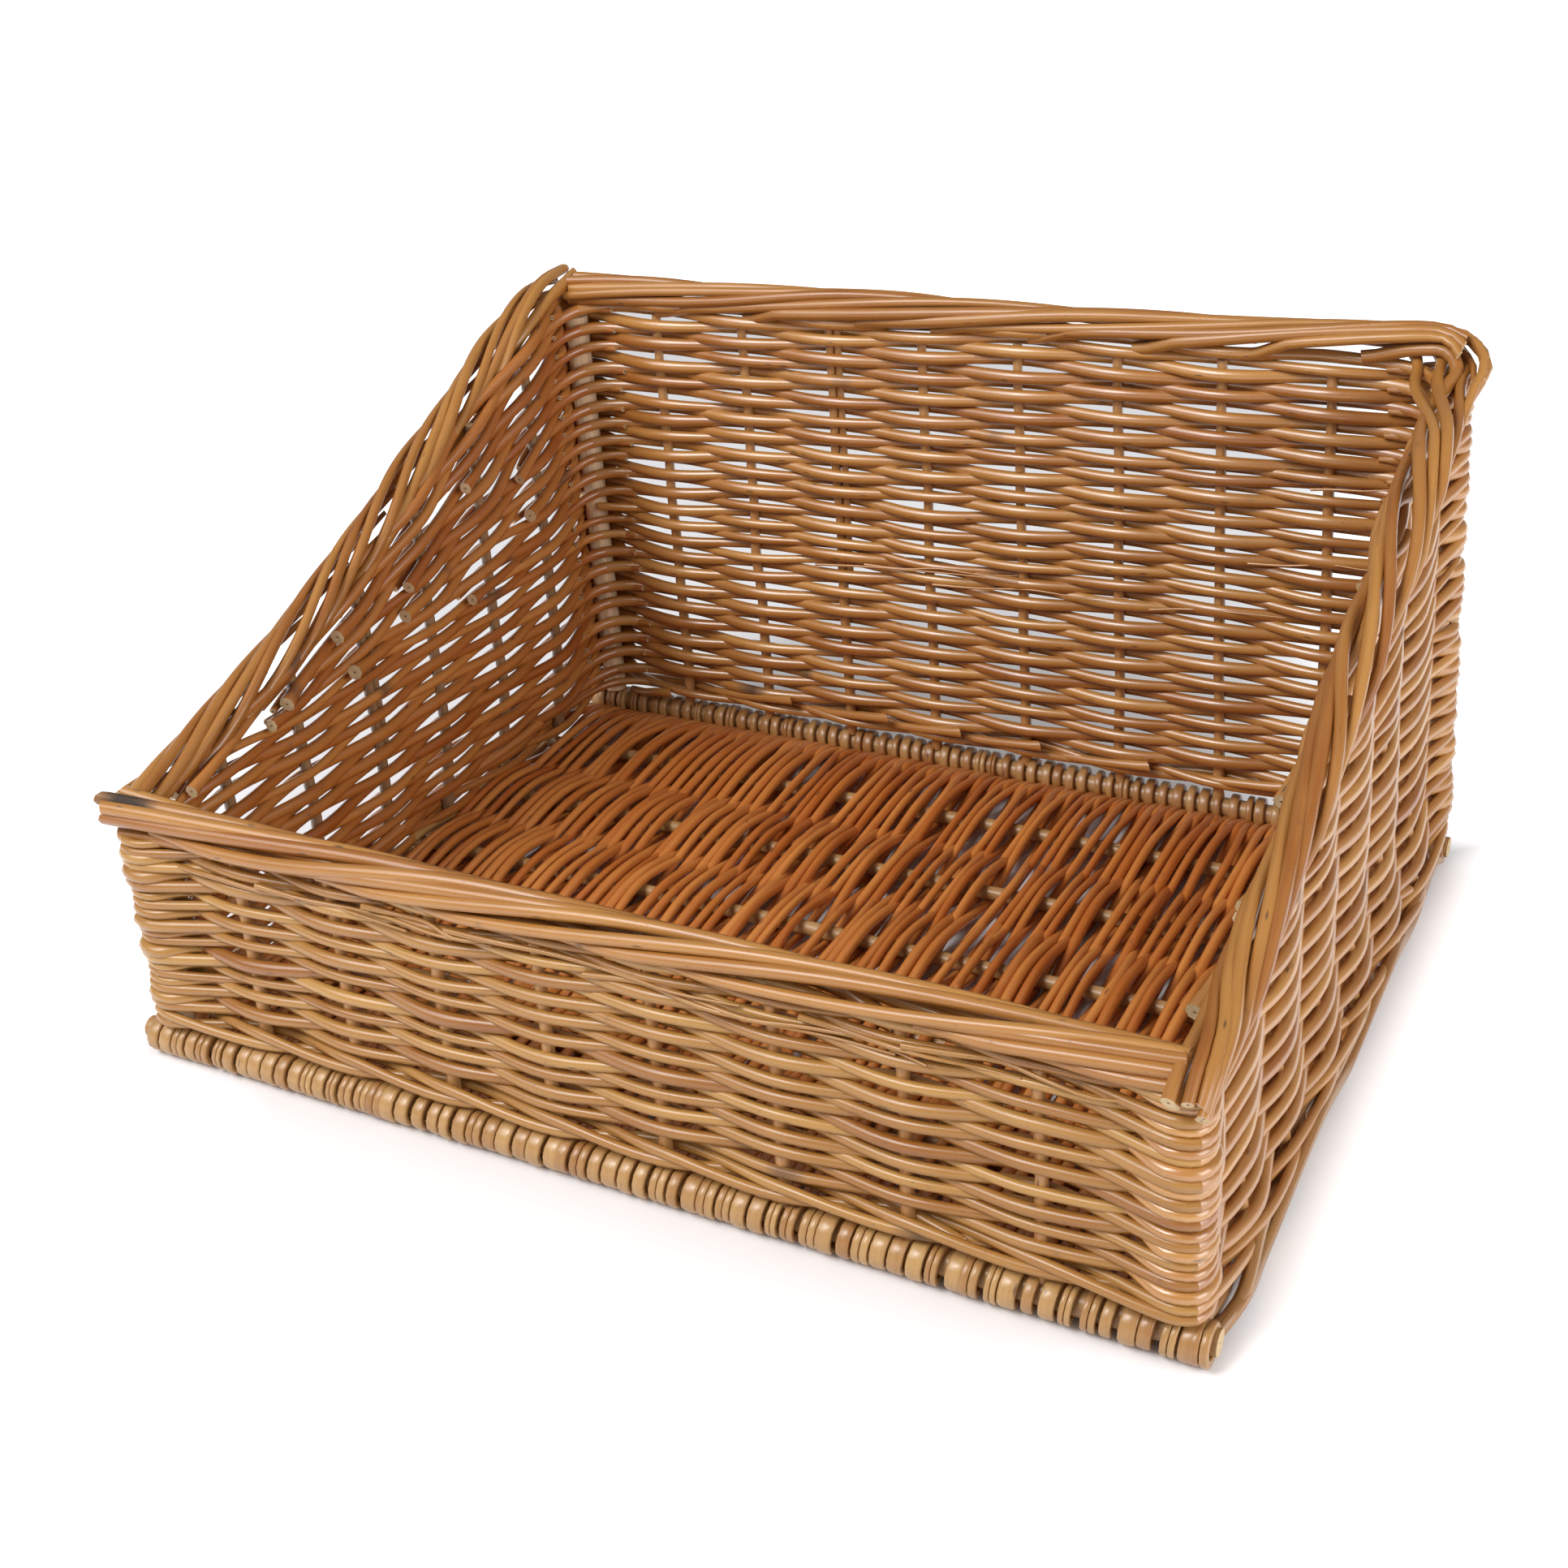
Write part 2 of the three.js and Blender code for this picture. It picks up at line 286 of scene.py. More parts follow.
class GreenRods:
    """Straight rods of unit radius, kept by their count of rings and sides."""

    def __init__(self) -> None:
        """Starts with no rod cut."""
        self.cut: dict[tuple[int, int], tuple[bpy.types.Mesh, np.ndarray]] = {}

    def get(self, rings: int, sides: int) -> tuple[bpy.types.Mesh, np.ndarray]:
        """Finds or makes a straight rod with flat cut ends.

        Args:
            rings: Number of stations along the rod.
            sides: Number of corners of its section.

        Returns:
            The mesh of the rod, and its corners as an array.
        """
        if (rings, sides) in self.cut:
            return self.cut[rings, sides]
        rod = bmesh.new()
        bmesh.ops.create_cone(rod, cap_ends=True, segments=sides, radius1=1.0, radius2=1.0, depth=1.0,
                              matrix=Matrix.Translation((0.0, 0.0, 0.5)))
        lengths = [e for e in rod.edges if abs(e.verts[0].co.z - e.verts[1].co.z) > 0.5]
        if rings > 2:
            bmesh.ops.subdivide_edges(rod, edges=lengths, cuts=rings - 2, use_grid_fill=True)
        for face in rod.faces:
            is_end = len(face.verts) == sides and abs(face.normal.z) > 0.9
            face.smooth = not is_end
            face.material_index = int(is_end)
            if is_end:
                for edge in face.edges:
                    edge.smooth = False
        mesh = bpy.data.meshes.new("green_rod")
        rod.to_mesh(mesh)
        rod.free()
        corners = np.zeros(len(mesh.vertices) * 3)
        mesh.vertices.foreach_get("co", corners)
        self.cut[rings, sides] = mesh, corners.reshape(-1, 3)
        return self.cut[rings, sides]

    def clear(self) -> None:
        """Takes the straight rods out of the file once every piece is bound."""
        for mesh, _ in self.cut.values():
            bpy.data.meshes.remove(mesh)
        self.cut.clear()


GREEN = GreenRods()


class Sheaf:
    """Rods that together are one piece of the basket."""

    def __init__(self, name: str, *rods: Rod) -> None:
        """Starts a sheaf with the name of its piece and its first rods."""
        self.name = name
        self.rods = list(rods)

    def lay(self, rod: Rod) -> None:
        """Adds a rod."""
        self.rods.append(rod)

    def bind(self, finish: "Willow", slot: str, *nodes: str, other: "Willow | None" = None) -> None:
        """Makes the piece and sets it in the frame.

        Args:
            finish: The finish of the rods.
            slot: Name of a material slot for the piece; it is not used.
            nodes: The nodes of the frame that the piece stands for.
            other: The finish of the rods of skin 2, if there are any.
        """
        mesh = self.mesh()
        piece = bpy.data.objects.new(self.name, mesh)
        bpy.context.scene.collection.objects.link(piece)
        mesh.materials.append(finish.material())
        mesh.materials.append(CutEnd.material())
        if other:
            mesh.materials.append(other.material())
        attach(piece, BODY)
        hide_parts(*nodes)
        LOG.info("%s: %d rods, %d faces, for %d nodes",
                 self.name, len(self.rods), len(mesh.polygons), len(nodes))

    def mesh(self) -> bpy.types.Mesh:
        """Bends a straight rod to the line of each rod and joins them.

        Returns:
            The mesh in metres, with the places on the straight rods, the tones and the stains as attributes.
        """
        bundle = bmesh.new()
        places, straights, tones, stains, skins = [], [], [], [], []
        for rod in self.rods:
            green, corners = GREEN.get(len(rod.line), rod.sides)
            bundle.from_mesh(green)
            bent, straight = rod.bend(corners)
            straight[:, 2] += rod.seed * MILLIMETRES
            station = rod.stations(corners)
            places.append(bent)
            straights.append(straight)
            tones.append(rod.tone[station])
            stains.append(rod.stain[station])
            skins.append(np.full(len(green.polygons), rod.skin))
        mesh = bpy.data.meshes.new(self.name)
        bundle.to_mesh(mesh)
        bundle.free()
        mesh.vertices.foreach_set("co", (np.vstack(places) * METRES).ravel())
        self.note(mesh, "straight", "FLOAT_VECTOR", "vector", np.vstack(straights) * METRES)
        self.note(mesh, "tone", "FLOAT", "value", np.concatenate(tones))
        self.note(mesh, "stain", "FLOAT", "value", np.concatenate(stains))
        ends = np.zeros(len(mesh.polygons), dtype=np.int32)
        mesh.polygons.foreach_get("material_index", ends)
        finishes = np.where(ends == 1, 1, np.concatenate(skins)).astype(np.int32)
        mesh.polygons.foreach_set("material_index", finishes)
        mesh.update()
        return mesh

    @staticmethod
    def note(mesh: bpy.types.Mesh, name: str, kind: str, key: str, values: np.ndarray) -> None:
        """Writes one value for each corner of a mesh.

        Args:
            mesh: The mesh that takes the values.
            name: Name of the attribute.
            kind: Data type of the attribute.
            key: The property that holds a value of that type.
            values: The values in the order of the corners.
        """
        attribute = mesh.attributes.new(name, kind, "POINT")
        attribute.data.foreach_set(key, values.astype(np.float32).ravel())


class Bench:
    """A node tree that is being laid out; a value is a number, a colour or another node's socket."""

    def __init__(self, tree: bpy.types.NodeTree) -> None:
        """Takes the tree to work on."""
        self.tree = tree

    @classmethod
    def for_material(cls, made: bpy.types.Material) -> tuple["Bench", bpy.types.Node]:
        """A bench on the node tree of a new material, and the material's shader."""
        made.use_nodes = True
        return cls(made.node_tree), made.node_tree.nodes["Principled BSDF"]

    def set(self, node: bpy.types.Node, values: Values) -> None:
        """Gives a node its values.

        Args:
            node: The node.
            values: Values by the names or numbers of the node's inputs.
        """
        for key, value in values.items():
            if isinstance(value, Socket):
                self.tree.links.new(value, node.inputs[key])
            else:
                node.inputs[key].default_value = value

    def node(self, kind: str, values: Values | None = None, **settings: object) -> bpy.types.Node:
        """Adds a node.

        Args:
            kind: The node's type name.
            values: Values by the names or numbers of its inputs.
            settings: Properties to set on it.

        Returns:
            The new node.
        """
        made = self.tree.nodes.new(kind)
        for name, setting in settings.items():
            setattr(made, name, setting)
        self.set(made, values or {})
        return made

    def maths(self, operation: str, *values: object, held: bool = False) -> Socket:
        """Result of a Math node on up to three values, held between 0 and 1 if asked for."""
        made = self.node("ShaderNodeMath", dict(enumerate(values)), operation=operation, use_clamp=held)
        return made.outputs[0]

    def times(self, first: object, second: object) -> Socket:
        """Product of two values."""
        return self.maths("MULTIPLY", first, second)

    def varied(self, noise: Socket, share: object, base: object, held: bool = False) -> Socket:
        """A value raised and lowered by a share of a noise, whose middle is 0.5."""
        return self.maths("MULTIPLY_ADD", self.maths("SUBTRACT", noise, 0.5), share, base, held=held)

    def pattern(self, kind: str, place: Socket, scale: Triple, **values: float) -> bpy.types.Node:
        """Node of a pattern over the straight rods, with its waves in a metre across, across and along."""
        spread = self.node("ShaderNodeMapping", {"Scale": scale, "Vector": place})
        return self.node(kind, {"Scale": 1.0, "Vector": spread.outputs[0], **values})

    def noise(self, place: Socket, scale: Triple, detail: float, rough: float = 0.5) -> Socket:
        """A noise of about 0 to 1 over the straight rods, with finer layers of a given count and strength."""
        return self.pattern("ShaderNodeTexNoise", place, scale, Detail=detail, Roughness=rough).outputs[0]

    def blend(self, share: object, first: object, second: object) -> Socket:
        """Two colours of four numbers, mixed by the share of the second."""
        mix = self.node("ShaderNodeMix", {0: share, 6: first, 7: second}, data_type="RGBA", blend_type="MIX")
        return mix.outputs[2]

    def window(self, value: Socket, low: float, high: float) -> Socket:
        """A value stretched so that low becomes 0 and high 1, held at both; high may be below low."""
        values = {"Value": value, "From Min": low, "From Max": high}
        return self.node("ShaderNodeMapRange", values, interpolation_type="SMOOTHSTEP").outputs[0]

    def relief(self, height: Socket, strength: float) -> Socket:
        """Normals of a relief with a given height over the surface."""
        values = {"Strength": strength, "Distance": RELIEF_DEPTH, "Height": height}
        return self.node("ShaderNodeBump", values).outputs[0]


class WillowGrain:
    """Shared look of peeled, buffed willow: long streaks, mottles, bud scars and stains."""

    NAME = "willow_grain"
    INPUTS = {"Straight": "NodeSocketVector", "Tone": "NodeSocketFloat", "Stain": "NodeSocketFloat",
              "Light": "NodeSocketColor", "Deep": "NodeSocketColor", "Scar": "NodeSocketColor",
              "Streaks": "NodeSocketFloat", "Gloss": "NodeSocketFloat"}
    OUTPUTS = {"Color": "NodeSocketColor", "Roughness": "NodeSocketFloat", "Height": "NodeSocketFloat",
               "Wear": "NodeSocketFloat"}
    STREAK = (520.0, 520.0, 16.0)
    FIBRE = (1900.0, 1900.0, 45.0)
    MOTTLE = (70.0, 70.0, 22.0)
    BLOTCH = (120.0, 120.0, 90.0)
    BUDS = (260.0, 260.0, 62.0)
    DUST = (900.0, 900.0, 380.0)
    NO_BUD = 0.72
    STAINED = (0.045, 0.03, 0.022, 1.0)

    @classmethod
    def group(cls) -> bpy.types.NodeTree:
        """Finds or builds the shared node group.

        Returns:
            The group: places, tones, stains and a finish's values in; colour, roughness, height and wear out.
        """
        found = bpy.data.node_groups.get(cls.NAME)
        if found:
            return found
        tree = bpy.data.node_groups.new(cls.NAME, "ShaderNodeTree")
        for way, sockets in (("INPUT", cls.INPUTS), ("OUTPUT", cls.OUTPUTS)):
            for name, kind in sockets.items():
                tree.interface.new_socket(name, in_out=way, socket_type=kind)
        cls.fill(Bench(tree))
        return tree

    @classmethod
    def fill(cls, bench: Bench) -> None:
        """Lays out the nodes of the group.

        Args:
            bench: The group's node tree.
        """
        given = bench.node("NodeGroupInput").outputs
        place = given["Straight"]
        streak = bench.noise(place, cls.STREAK, 3.0, 0.6)
        fibre = bench.noise(place, cls.FIBRE, 2.0)
        mottle = bench.noise(place, cls.MOTTLE, 3.0, 0.6)
        lifted = bench.varied(streak, given["Streaks"], given["Tone"])
        lifted = bench.varied(mottle, 0.9, lifted, held=True)
        colour = bench.blend(lifted, given["Deep"], given["Light"])
        bud = cls.buds(bench, place)
        dust = bench.window(bench.noise(place, cls.DUST, 1.0), 0.7, 0.78)
        blotch = bench.window(bench.noise(place, cls.BLOTCH, 2.0), 0.66, 0.8)
        marks = bench.maths("MAXIMUM", bench.times(bud, 0.8), bench.times(dust, 0.4))
        marks = bench.maths("MAXIMUM", marks, bench.times(blotch, 0.3))
        colour = bench.blend(marks, colour, given["Scar"])
        edged = bench.varied(streak, 0.8, given["Stain"], held=True)
        stained = bench.times(edged, bench.window(given["Stain"], 0.02, 0.3))
        colour = bench.blend(stained, colour, cls.STAINED)
        rough = bench.maths("MULTIPLY_ADD", mottle, 0.22, given["Gloss"])
        rough = bench.maths("MULTIPLY_ADD", marks, 0.2, rough)
        rough = bench.maths("MULTIPLY_ADD", stained, 0.45, rough, held=True)
        height = bench.maths("MULTIPLY_ADD", streak, 0.6, bench.times(fibre, 0.35))
        height = bench.maths("MULTIPLY_ADD", bud, 0.5, height)
        bench.node("NodeGroupOutput", dict(zip(cls.OUTPUTS, (colour, rough, height, stained))))

    @classmethod
    def buds(cls, bench: Bench, place: Socket) -> Socket:
        """Scatters bud scars over the rods.

        Args:
            bench: The group's node tree.
            place: Places on the straight rod.

        Returns:
            A mask that is 1 on a scar.
        """
        cells = bench.pattern("ShaderNodeTexVoronoi", place, cls.BUDS)
        split = bench.node("ShaderNodeSeparateColor", {0: cells.outputs["Color"]})
        chosen = bench.maths("GREATER_THAN", split.outputs[0], cls.NO_BUD)
        return bench.times(bench.window(cells.outputs["Distance"], 0.2, 0.07), chosen)


@dataclass(frozen=True)
class Willow:
    """Finish of one kind of rod."""

    ATTRIBUTES: ClassVar[tuple[tuple[str, str, str], ...]] = (
        ("Straight", "straight", "Vector"), ("Tone", "tone", "Fac"), ("Stain", "stain", "Fac"))

    name: str
    light: Colour
    deep: Colour
    scar: Colour = (0.09, 0.045, 0.02)
    streaks: float = 0.8
    gloss: float = 0.3
    varnish: float = 0.7
    relief: float = 0.25
    varnish_index: float = 1.5
    varnish_rough: float = 0.2

    def material(self) -> bpy.types.Material:
        """Finds or builds the material.

        Returns:
            The material of this finish.
        """
        found = bpy.data.materials.get(self.name)
        if found:
            return found
        made = bpy.data.materials.new(self.name)
        bench, shader = Bench.for_material(made)
        values = {"Streaks": self.streaks, "Gloss": self.gloss}
        for socket, attribute, output in self.ATTRIBUTES:
            values[socket] = bench.node("ShaderNodeAttribute", attribute_name=attribute).outputs[output]
        for socket, colour in (("Light", self.light), ("Deep", self.deep), ("Scar", self.scar)):
            values[socket] = (*colour, 1.0)
        grain = bench.node("ShaderNodeGroup", values, node_tree=WillowGrain.group()).outputs
        coat = bench.maths("MULTIPLY_ADD", grain["Wear"], -self.varnish, self.varnish)
        bench.set(shader, {"Base Color": grain["Color"], "Roughness": grain["Roughness"], "Coat Weight": coat,
                           "Coat Roughness": self.varnish_rough, "Coat IOR": self.varnish_index,
                           "Normal": bench.relief(grain["Height"], self.relief)})
        return made


class CutEnd:
    """Pale cut ends of the rods, with a pith and rings."""

    NAME = "cut_willow"
    GRAIN = (700.0, 700.0, 700.0)
    RINGS = 7000.0
    RING_SHADE = 0.12
    DEEP = (0.5, 0.33, 0.16, 1.0)
    LIGHT = (0.85, 0.66, 0.4, 1.0)
    PITH = (0.2, 0.11, 0.05, 1.0)
    PITH_EDGE = (0.0008, 0.0003)
    STAINED = (0.05, 0.035, 0.025, 1.0)
    RELIEF = 0.4
    ROUGHNESS = 0.7

    @classmethod
    def material(cls) -> bpy.types.Material:
        """Finds or builds the material.

        Returns:
            The material of the cut ends.
        """
        found = bpy.data.materials.get(cls.NAME)
        if found:
            return found
        made = bpy.data.materials.new(cls.NAME)
        bench, shader = Bench.for_material(made)
        place = bench.node("ShaderNodeAttribute", attribute_name="straight").outputs["Vector"]
        stain = bench.node("ShaderNodeAttribute", attribute_name="stain").outputs["Fac"]
        parts = bench.node("ShaderNodeSeparateXYZ", {0: place}).outputs
        squares = [bench.maths("POWER", parts[i], 2.0) for i in (0, 1)]
        reach = bench.maths("SQRT", bench.maths("ADD", *squares))
        grain = bench.noise(place, cls.GRAIN, 3.0)
        rings = bench.maths("SINE", bench.times(reach, cls.RINGS))
        shade = bench.maths("MULTIPLY_ADD", rings, cls.RING_SHADE, grain, held=True)
        colour = bench.blend(shade, cls.DEEP, cls.LIGHT)
        colour = bench.blend(bench.window(reach, *cls.PITH_EDGE), colour, cls.PITH)
        colour = bench.blend(stain, colour, cls.STAINED)
        bench.set(shader, {"Base Color": colour, "Roughness": cls.ROUGHNESS,
                           "Normal": bench.relief(grain, cls.RELIEF)})
        return made


WALL_WILLOW = Willow("wall_willow", (0.55, 0.262, 0.06), (0.335, 0.11, 0.013),
                     varnish_index=1.85, varnish_rough=0.26)
# Darker, yellower copy of the wall finish for the front wall: painted shade that tones down the front wall
# under the key light.
DIMMED_FRONT_WILLOW = Willow("dimmed_front_willow", (0.47, 0.245, 0.058), (0.285, 0.099, 0.013), varnish=0.5)
# Deeper, redder copy of the willow for the base inside the basket: painted shade and bounce light of the
# interior. The wraps round the edge sticks and the outermost passes, outside that painted shade, take the
# wrap finish.
SHADED_BASE_WILLOW = Willow("shaded_base_willow", (0.74, 0.292, 0.064), (0.455, 0.115, 0.013))
WRAP_WILLOW = Willow("wrap_willow", (0.5, 0.292, 0.104), (0.33, 0.14, 0.035),
                     streaks=1.0, gloss=0.36, varnish=0.55)
# Darker, redder copy of the wall finish for the left wall: painted shade on its inner face.
SHADED_LEFT_WILLOW = Willow("shaded_left_willow", (0.5, 0.2, 0.042), (0.31, 0.076, 0.008))
BORDER_WILLOW = Willow("border_willow", (0.47, 0.218, 0.05), (0.29, 0.09, 0.012), varnish=0.45)
# Paler copy of the wall finish for the stakes: painted light on stakes that sit in shade between the rows.
# The left wall's stakes take a darker, shaded copy.
LIT_STAKE_WILLOW = Willow("lit_stake_willow", (0.6, 0.33, 0.125), (0.42, 0.19, 0.06), varnish=0.4)
SHADED_STAKE = Willow("shaded_stake", (0.36, 0.225, 0.115), (0.23, 0.125, 0.055), varnish=0.2)
POST_WOOD = Willow("post_wood", (0.92, 0.68, 0.44), (0.6, 0.37, 0.2),
                   streaks=1.7, gloss=0.45, varnish=0.1, relief=0.6)
STICK_WOOD = Willow("stick_wood", (0.52, 0.3, 0.115), (0.34, 0.165, 0.05),
                    streaks=1.2, gloss=0.36, varnish=0.25, relief=0.4)


@dataclass
class Wall:
    """One wall between two posts, measured along from its first post and out from its middle."""

    side: Side
    corner: Pair
    along: Pair
    out: Pair
    length: float
    stakes: int

    def plan(self, t: float, w: float) -> np.ndarray:
        """Place on the upright plan, a distance along the wall and out from it."""
        return np.array(self.corner) + np.array(self.along) * t + np.array(self.out) * w

    def depth(self, t: float) -> float:
        """Depth in the basket of a place along the wall."""
        return self.plan(t, 0.0)[1]

    def from_ends(self, t: float, ease: float) -> float:
        """A value that rises from 0 at both ends of the wall to 1, a given distance from them."""
        return float(ramp(min(t, self.length - t) / ease))

    def at(self, t: float, w: float, z: float) -> np.ndarray:
        """Finds a place in the frame.

        Args:
            t: Its distance along the wall.
            w: Its distance out from the wall.
            z: Its height above the floor.

        Returns:
            The place, with the lean of the wall and the flare at the foot of a side.
        """
        if self.side in (Side.LEFT, Side.RIGHT):
            low = float(1.0 - ramp((z - PLAN.flare_low) / PLAN.flare_fade))
            w += PLAN.flare * (self.from_ends(t, PLAN.flare_ends) * low)
        x, y = self.plan(t, w)
        return PLAN.leaned(x, y, z)

    def places(self) -> list[float]:
        """Distances of the stakes along the wall."""
        return [self.length * (i + 1) / (self.stakes + 1) for i in range(self.stakes)]

    def border_height(self, t: float) -> float:
        """Height of the middle of the border above a place of the wall."""
        level = {Side.FRONT: PLAN.front_height, Side.BACK: PLAN.back_height}
        return level[self.side] if self.side in level else PLAN.slope_height(self.depth(t))

    def stake_node(self, index: int) -> str:
        """Name of the frame's node for a stake, counted along the wall from 0."""
        number = self.stakes - index if self.side is Side.RIGHT else index + 1
        return f"stake_{self.side.value}_{number}"


def four_walls() -> list[Wall]:
    """Plans the walls.

    Returns:
        The walls in the order in which a weaver goes round.
    """
    x, y = PLAN.post_x, PLAN.post_y
    return [
        Wall(Side.FRONT, (-x, -y), (1.0, 0.0), (0.0, -1.0), 2 * x, PLAN.long_stakes),
        Wall(Side.RIGHT, (x, -y), (0.0, 1.0), (1.0, 0.0), 2 * y, PLAN.side_stakes),
        Wall(Side.BACK, (x, y), (-1.0, 0.0), (0.0, 1.0), 2 * x, PLAN.long_stakes),
        Wall(Side.LEFT, (-x, y), (0.0, -1.0), (-1.0, 0.0), 2 * y, PLAN.side_stakes),
    ]


WALLS = four_walls()
FRONT_WALL, RIGHT_WALL, BACK_WALL, LEFT_WALL = WALLS


@dataclass
class Uprights:
    """The corner posts and the stakes."""

    stake_taper: float = 0.16
    stake_foot: float = 14.0
    stake_drop: float = 7.0
    stake_joint: float = 26.0
    stake_step: float = 9.0
    stake_play: Pair = (0.35, 0.15)
    stake_swell: float = 0.03
    stake_wave: float = 2.1
    stake_tones: Pair = (0.1, 0.6)
    doubled: tuple[str, ...] = ("stake_back_6", "stake_left_4")
    second_from: float = 0.45
    second_beside: Triple = (4.6, 4.8, 4.4)
    second_in: float = 0.4
    second_thick: float = 3.9
    second_slant: float = 1.2
    second_tone: float = 0.25
    second_step: float = 10.0
    post_step: float = 12.0
    post_drop: float = 11.0
    post_joint: float = 30.0
    post_last_joint: float = 8.0
    post_swell: float = 0.025
    post_wave: float = 1.7
    post_phase: float = 6.0
    post_sides: int = 14
    seed: int = 11
    rng: np.random.Generator = field(init=False)

    def build(self) -> None:
        """Makes every post and stake as a piece of its own."""
        self.rng = np.random.default_rng(self.seed)
        for wall in WALLS:
            for index, t in enumerate(wall.places()):
                self.stake(wall, index, t)
        rows = (("front", -PLAN.post_y, PLAN.front_height), ("back", PLAN.post_y, PLAN.back_height))
        for end, y, height in rows:
            for side, x in (("left", -PLAN.post_x), ("right", PLAN.post_x)):
                self.post(f"corner_post_{end}_{side}", x, y, height)

    def stake(self, wall: Wall, index: int, t: float) -> None:
        """Makes one stake.

        Args:
            wall: The wall that it stands in.
            index: Its number along the wall.
            t: Its distance along the wall.
        """
        node = wall.stake_node(index)
        top = wall.border_height(t) - self.stake_drop
        along, out = self.stake_play
        heights = np.arange(self.stake_foot, top, self.stake_joint)
        points = [wall.at(t + self.rng.normal(0, along), self.rng.normal(0, out), z) for z in heights]
        points.append(wall.at(t, 0.0, top))
        line, place = smooth_line(np.array(points), self.stake_step)
        swell = 1 + self.stake_swell * np.sin(place * self.stake_wave)
        thick = PLAN.stake * (1 - self.stake_taper * place / place[-1]) * swell
        sheaf = Sheaf("willow_" + node)
        tone = self.rng.uniform(*self.stake_tones)
        sheaf.lay(Rod(line, thick, thick, ALONG_X, tone, grain_start(self.rng)))
        if node in self.doubled:
            low = self.second_from * top
            steps = zip(self.second_beside, (-self.second_in, 0.0, 0.0), (low, (low + top) / 2, top))
            second = np.array([wall.at(t - beside, w, z) for beside, w, z in steps])
            line, _ = smooth_line(second, self.second_step)
            sheaf.lay(Rod(line, self.second_thick, self.second_thick, ALONG_X, self.second_tone,
                          grain_start(self.rng), slant=(self.second_slant, 0.0)))
        sheaf.bind(SHADED_STAKE if wall.side is Side.LEFT else LIT_STAKE_WILLOW, "stakes", node)

    def post(self, node: str, x: float, y: float, height: float) -> None:
        """Makes one corner post.

        Args:
            node: The frame's node that it stands for.
            x: Its place across the basket.
            y: Its place along the depth.
            height: Height of the border over it.
        """
        top = height - self.post_drop
        heights = np.arange(PLAN.base_top, top - self.post_last_joint, self.post_joint)
        points = np.array([PLAN.leaned(x, y, z) for z in heights] + [PLAN.leaned(x, y, top)])
        line, place = smooth_line(points, self.post_step)
        swell = np.sin(place * self.post_wave + self.rng.uniform(0, self.post_phase))
        thick = PLAN.post * (1 + self.post_swell * swell)
        sheaf = Sheaf("wood_" + node)
        sheaf.lay(Rod(line, thick, thick, ALONG_X, 0.5, grain_start(self.rng), sides=self.post_sides))
        sheaf.bind(POST_WOOD, "posts", node)


@dataclass
class Stop:
    """A place that a weaver goes through; a corner stop is the middle of its turn round a post."""

    at: np.ndarray
    thick: float
    corner: bool = False


@dataclass(frozen=True)
class Wave:
    """A slow wave over the walls, by the place on the plan and the height."""

    high: float
    turn: float
    slant: float = -1.0
    climb: float = 0.0

    def at(self, x: float, y: float, height: float, phase: float = 0.0) -> float:
        """The wave at a place, with an extra phase."""
        return self.high * math.sin(self.turn * (x + self.slant * y) + self.climb * height + phase)


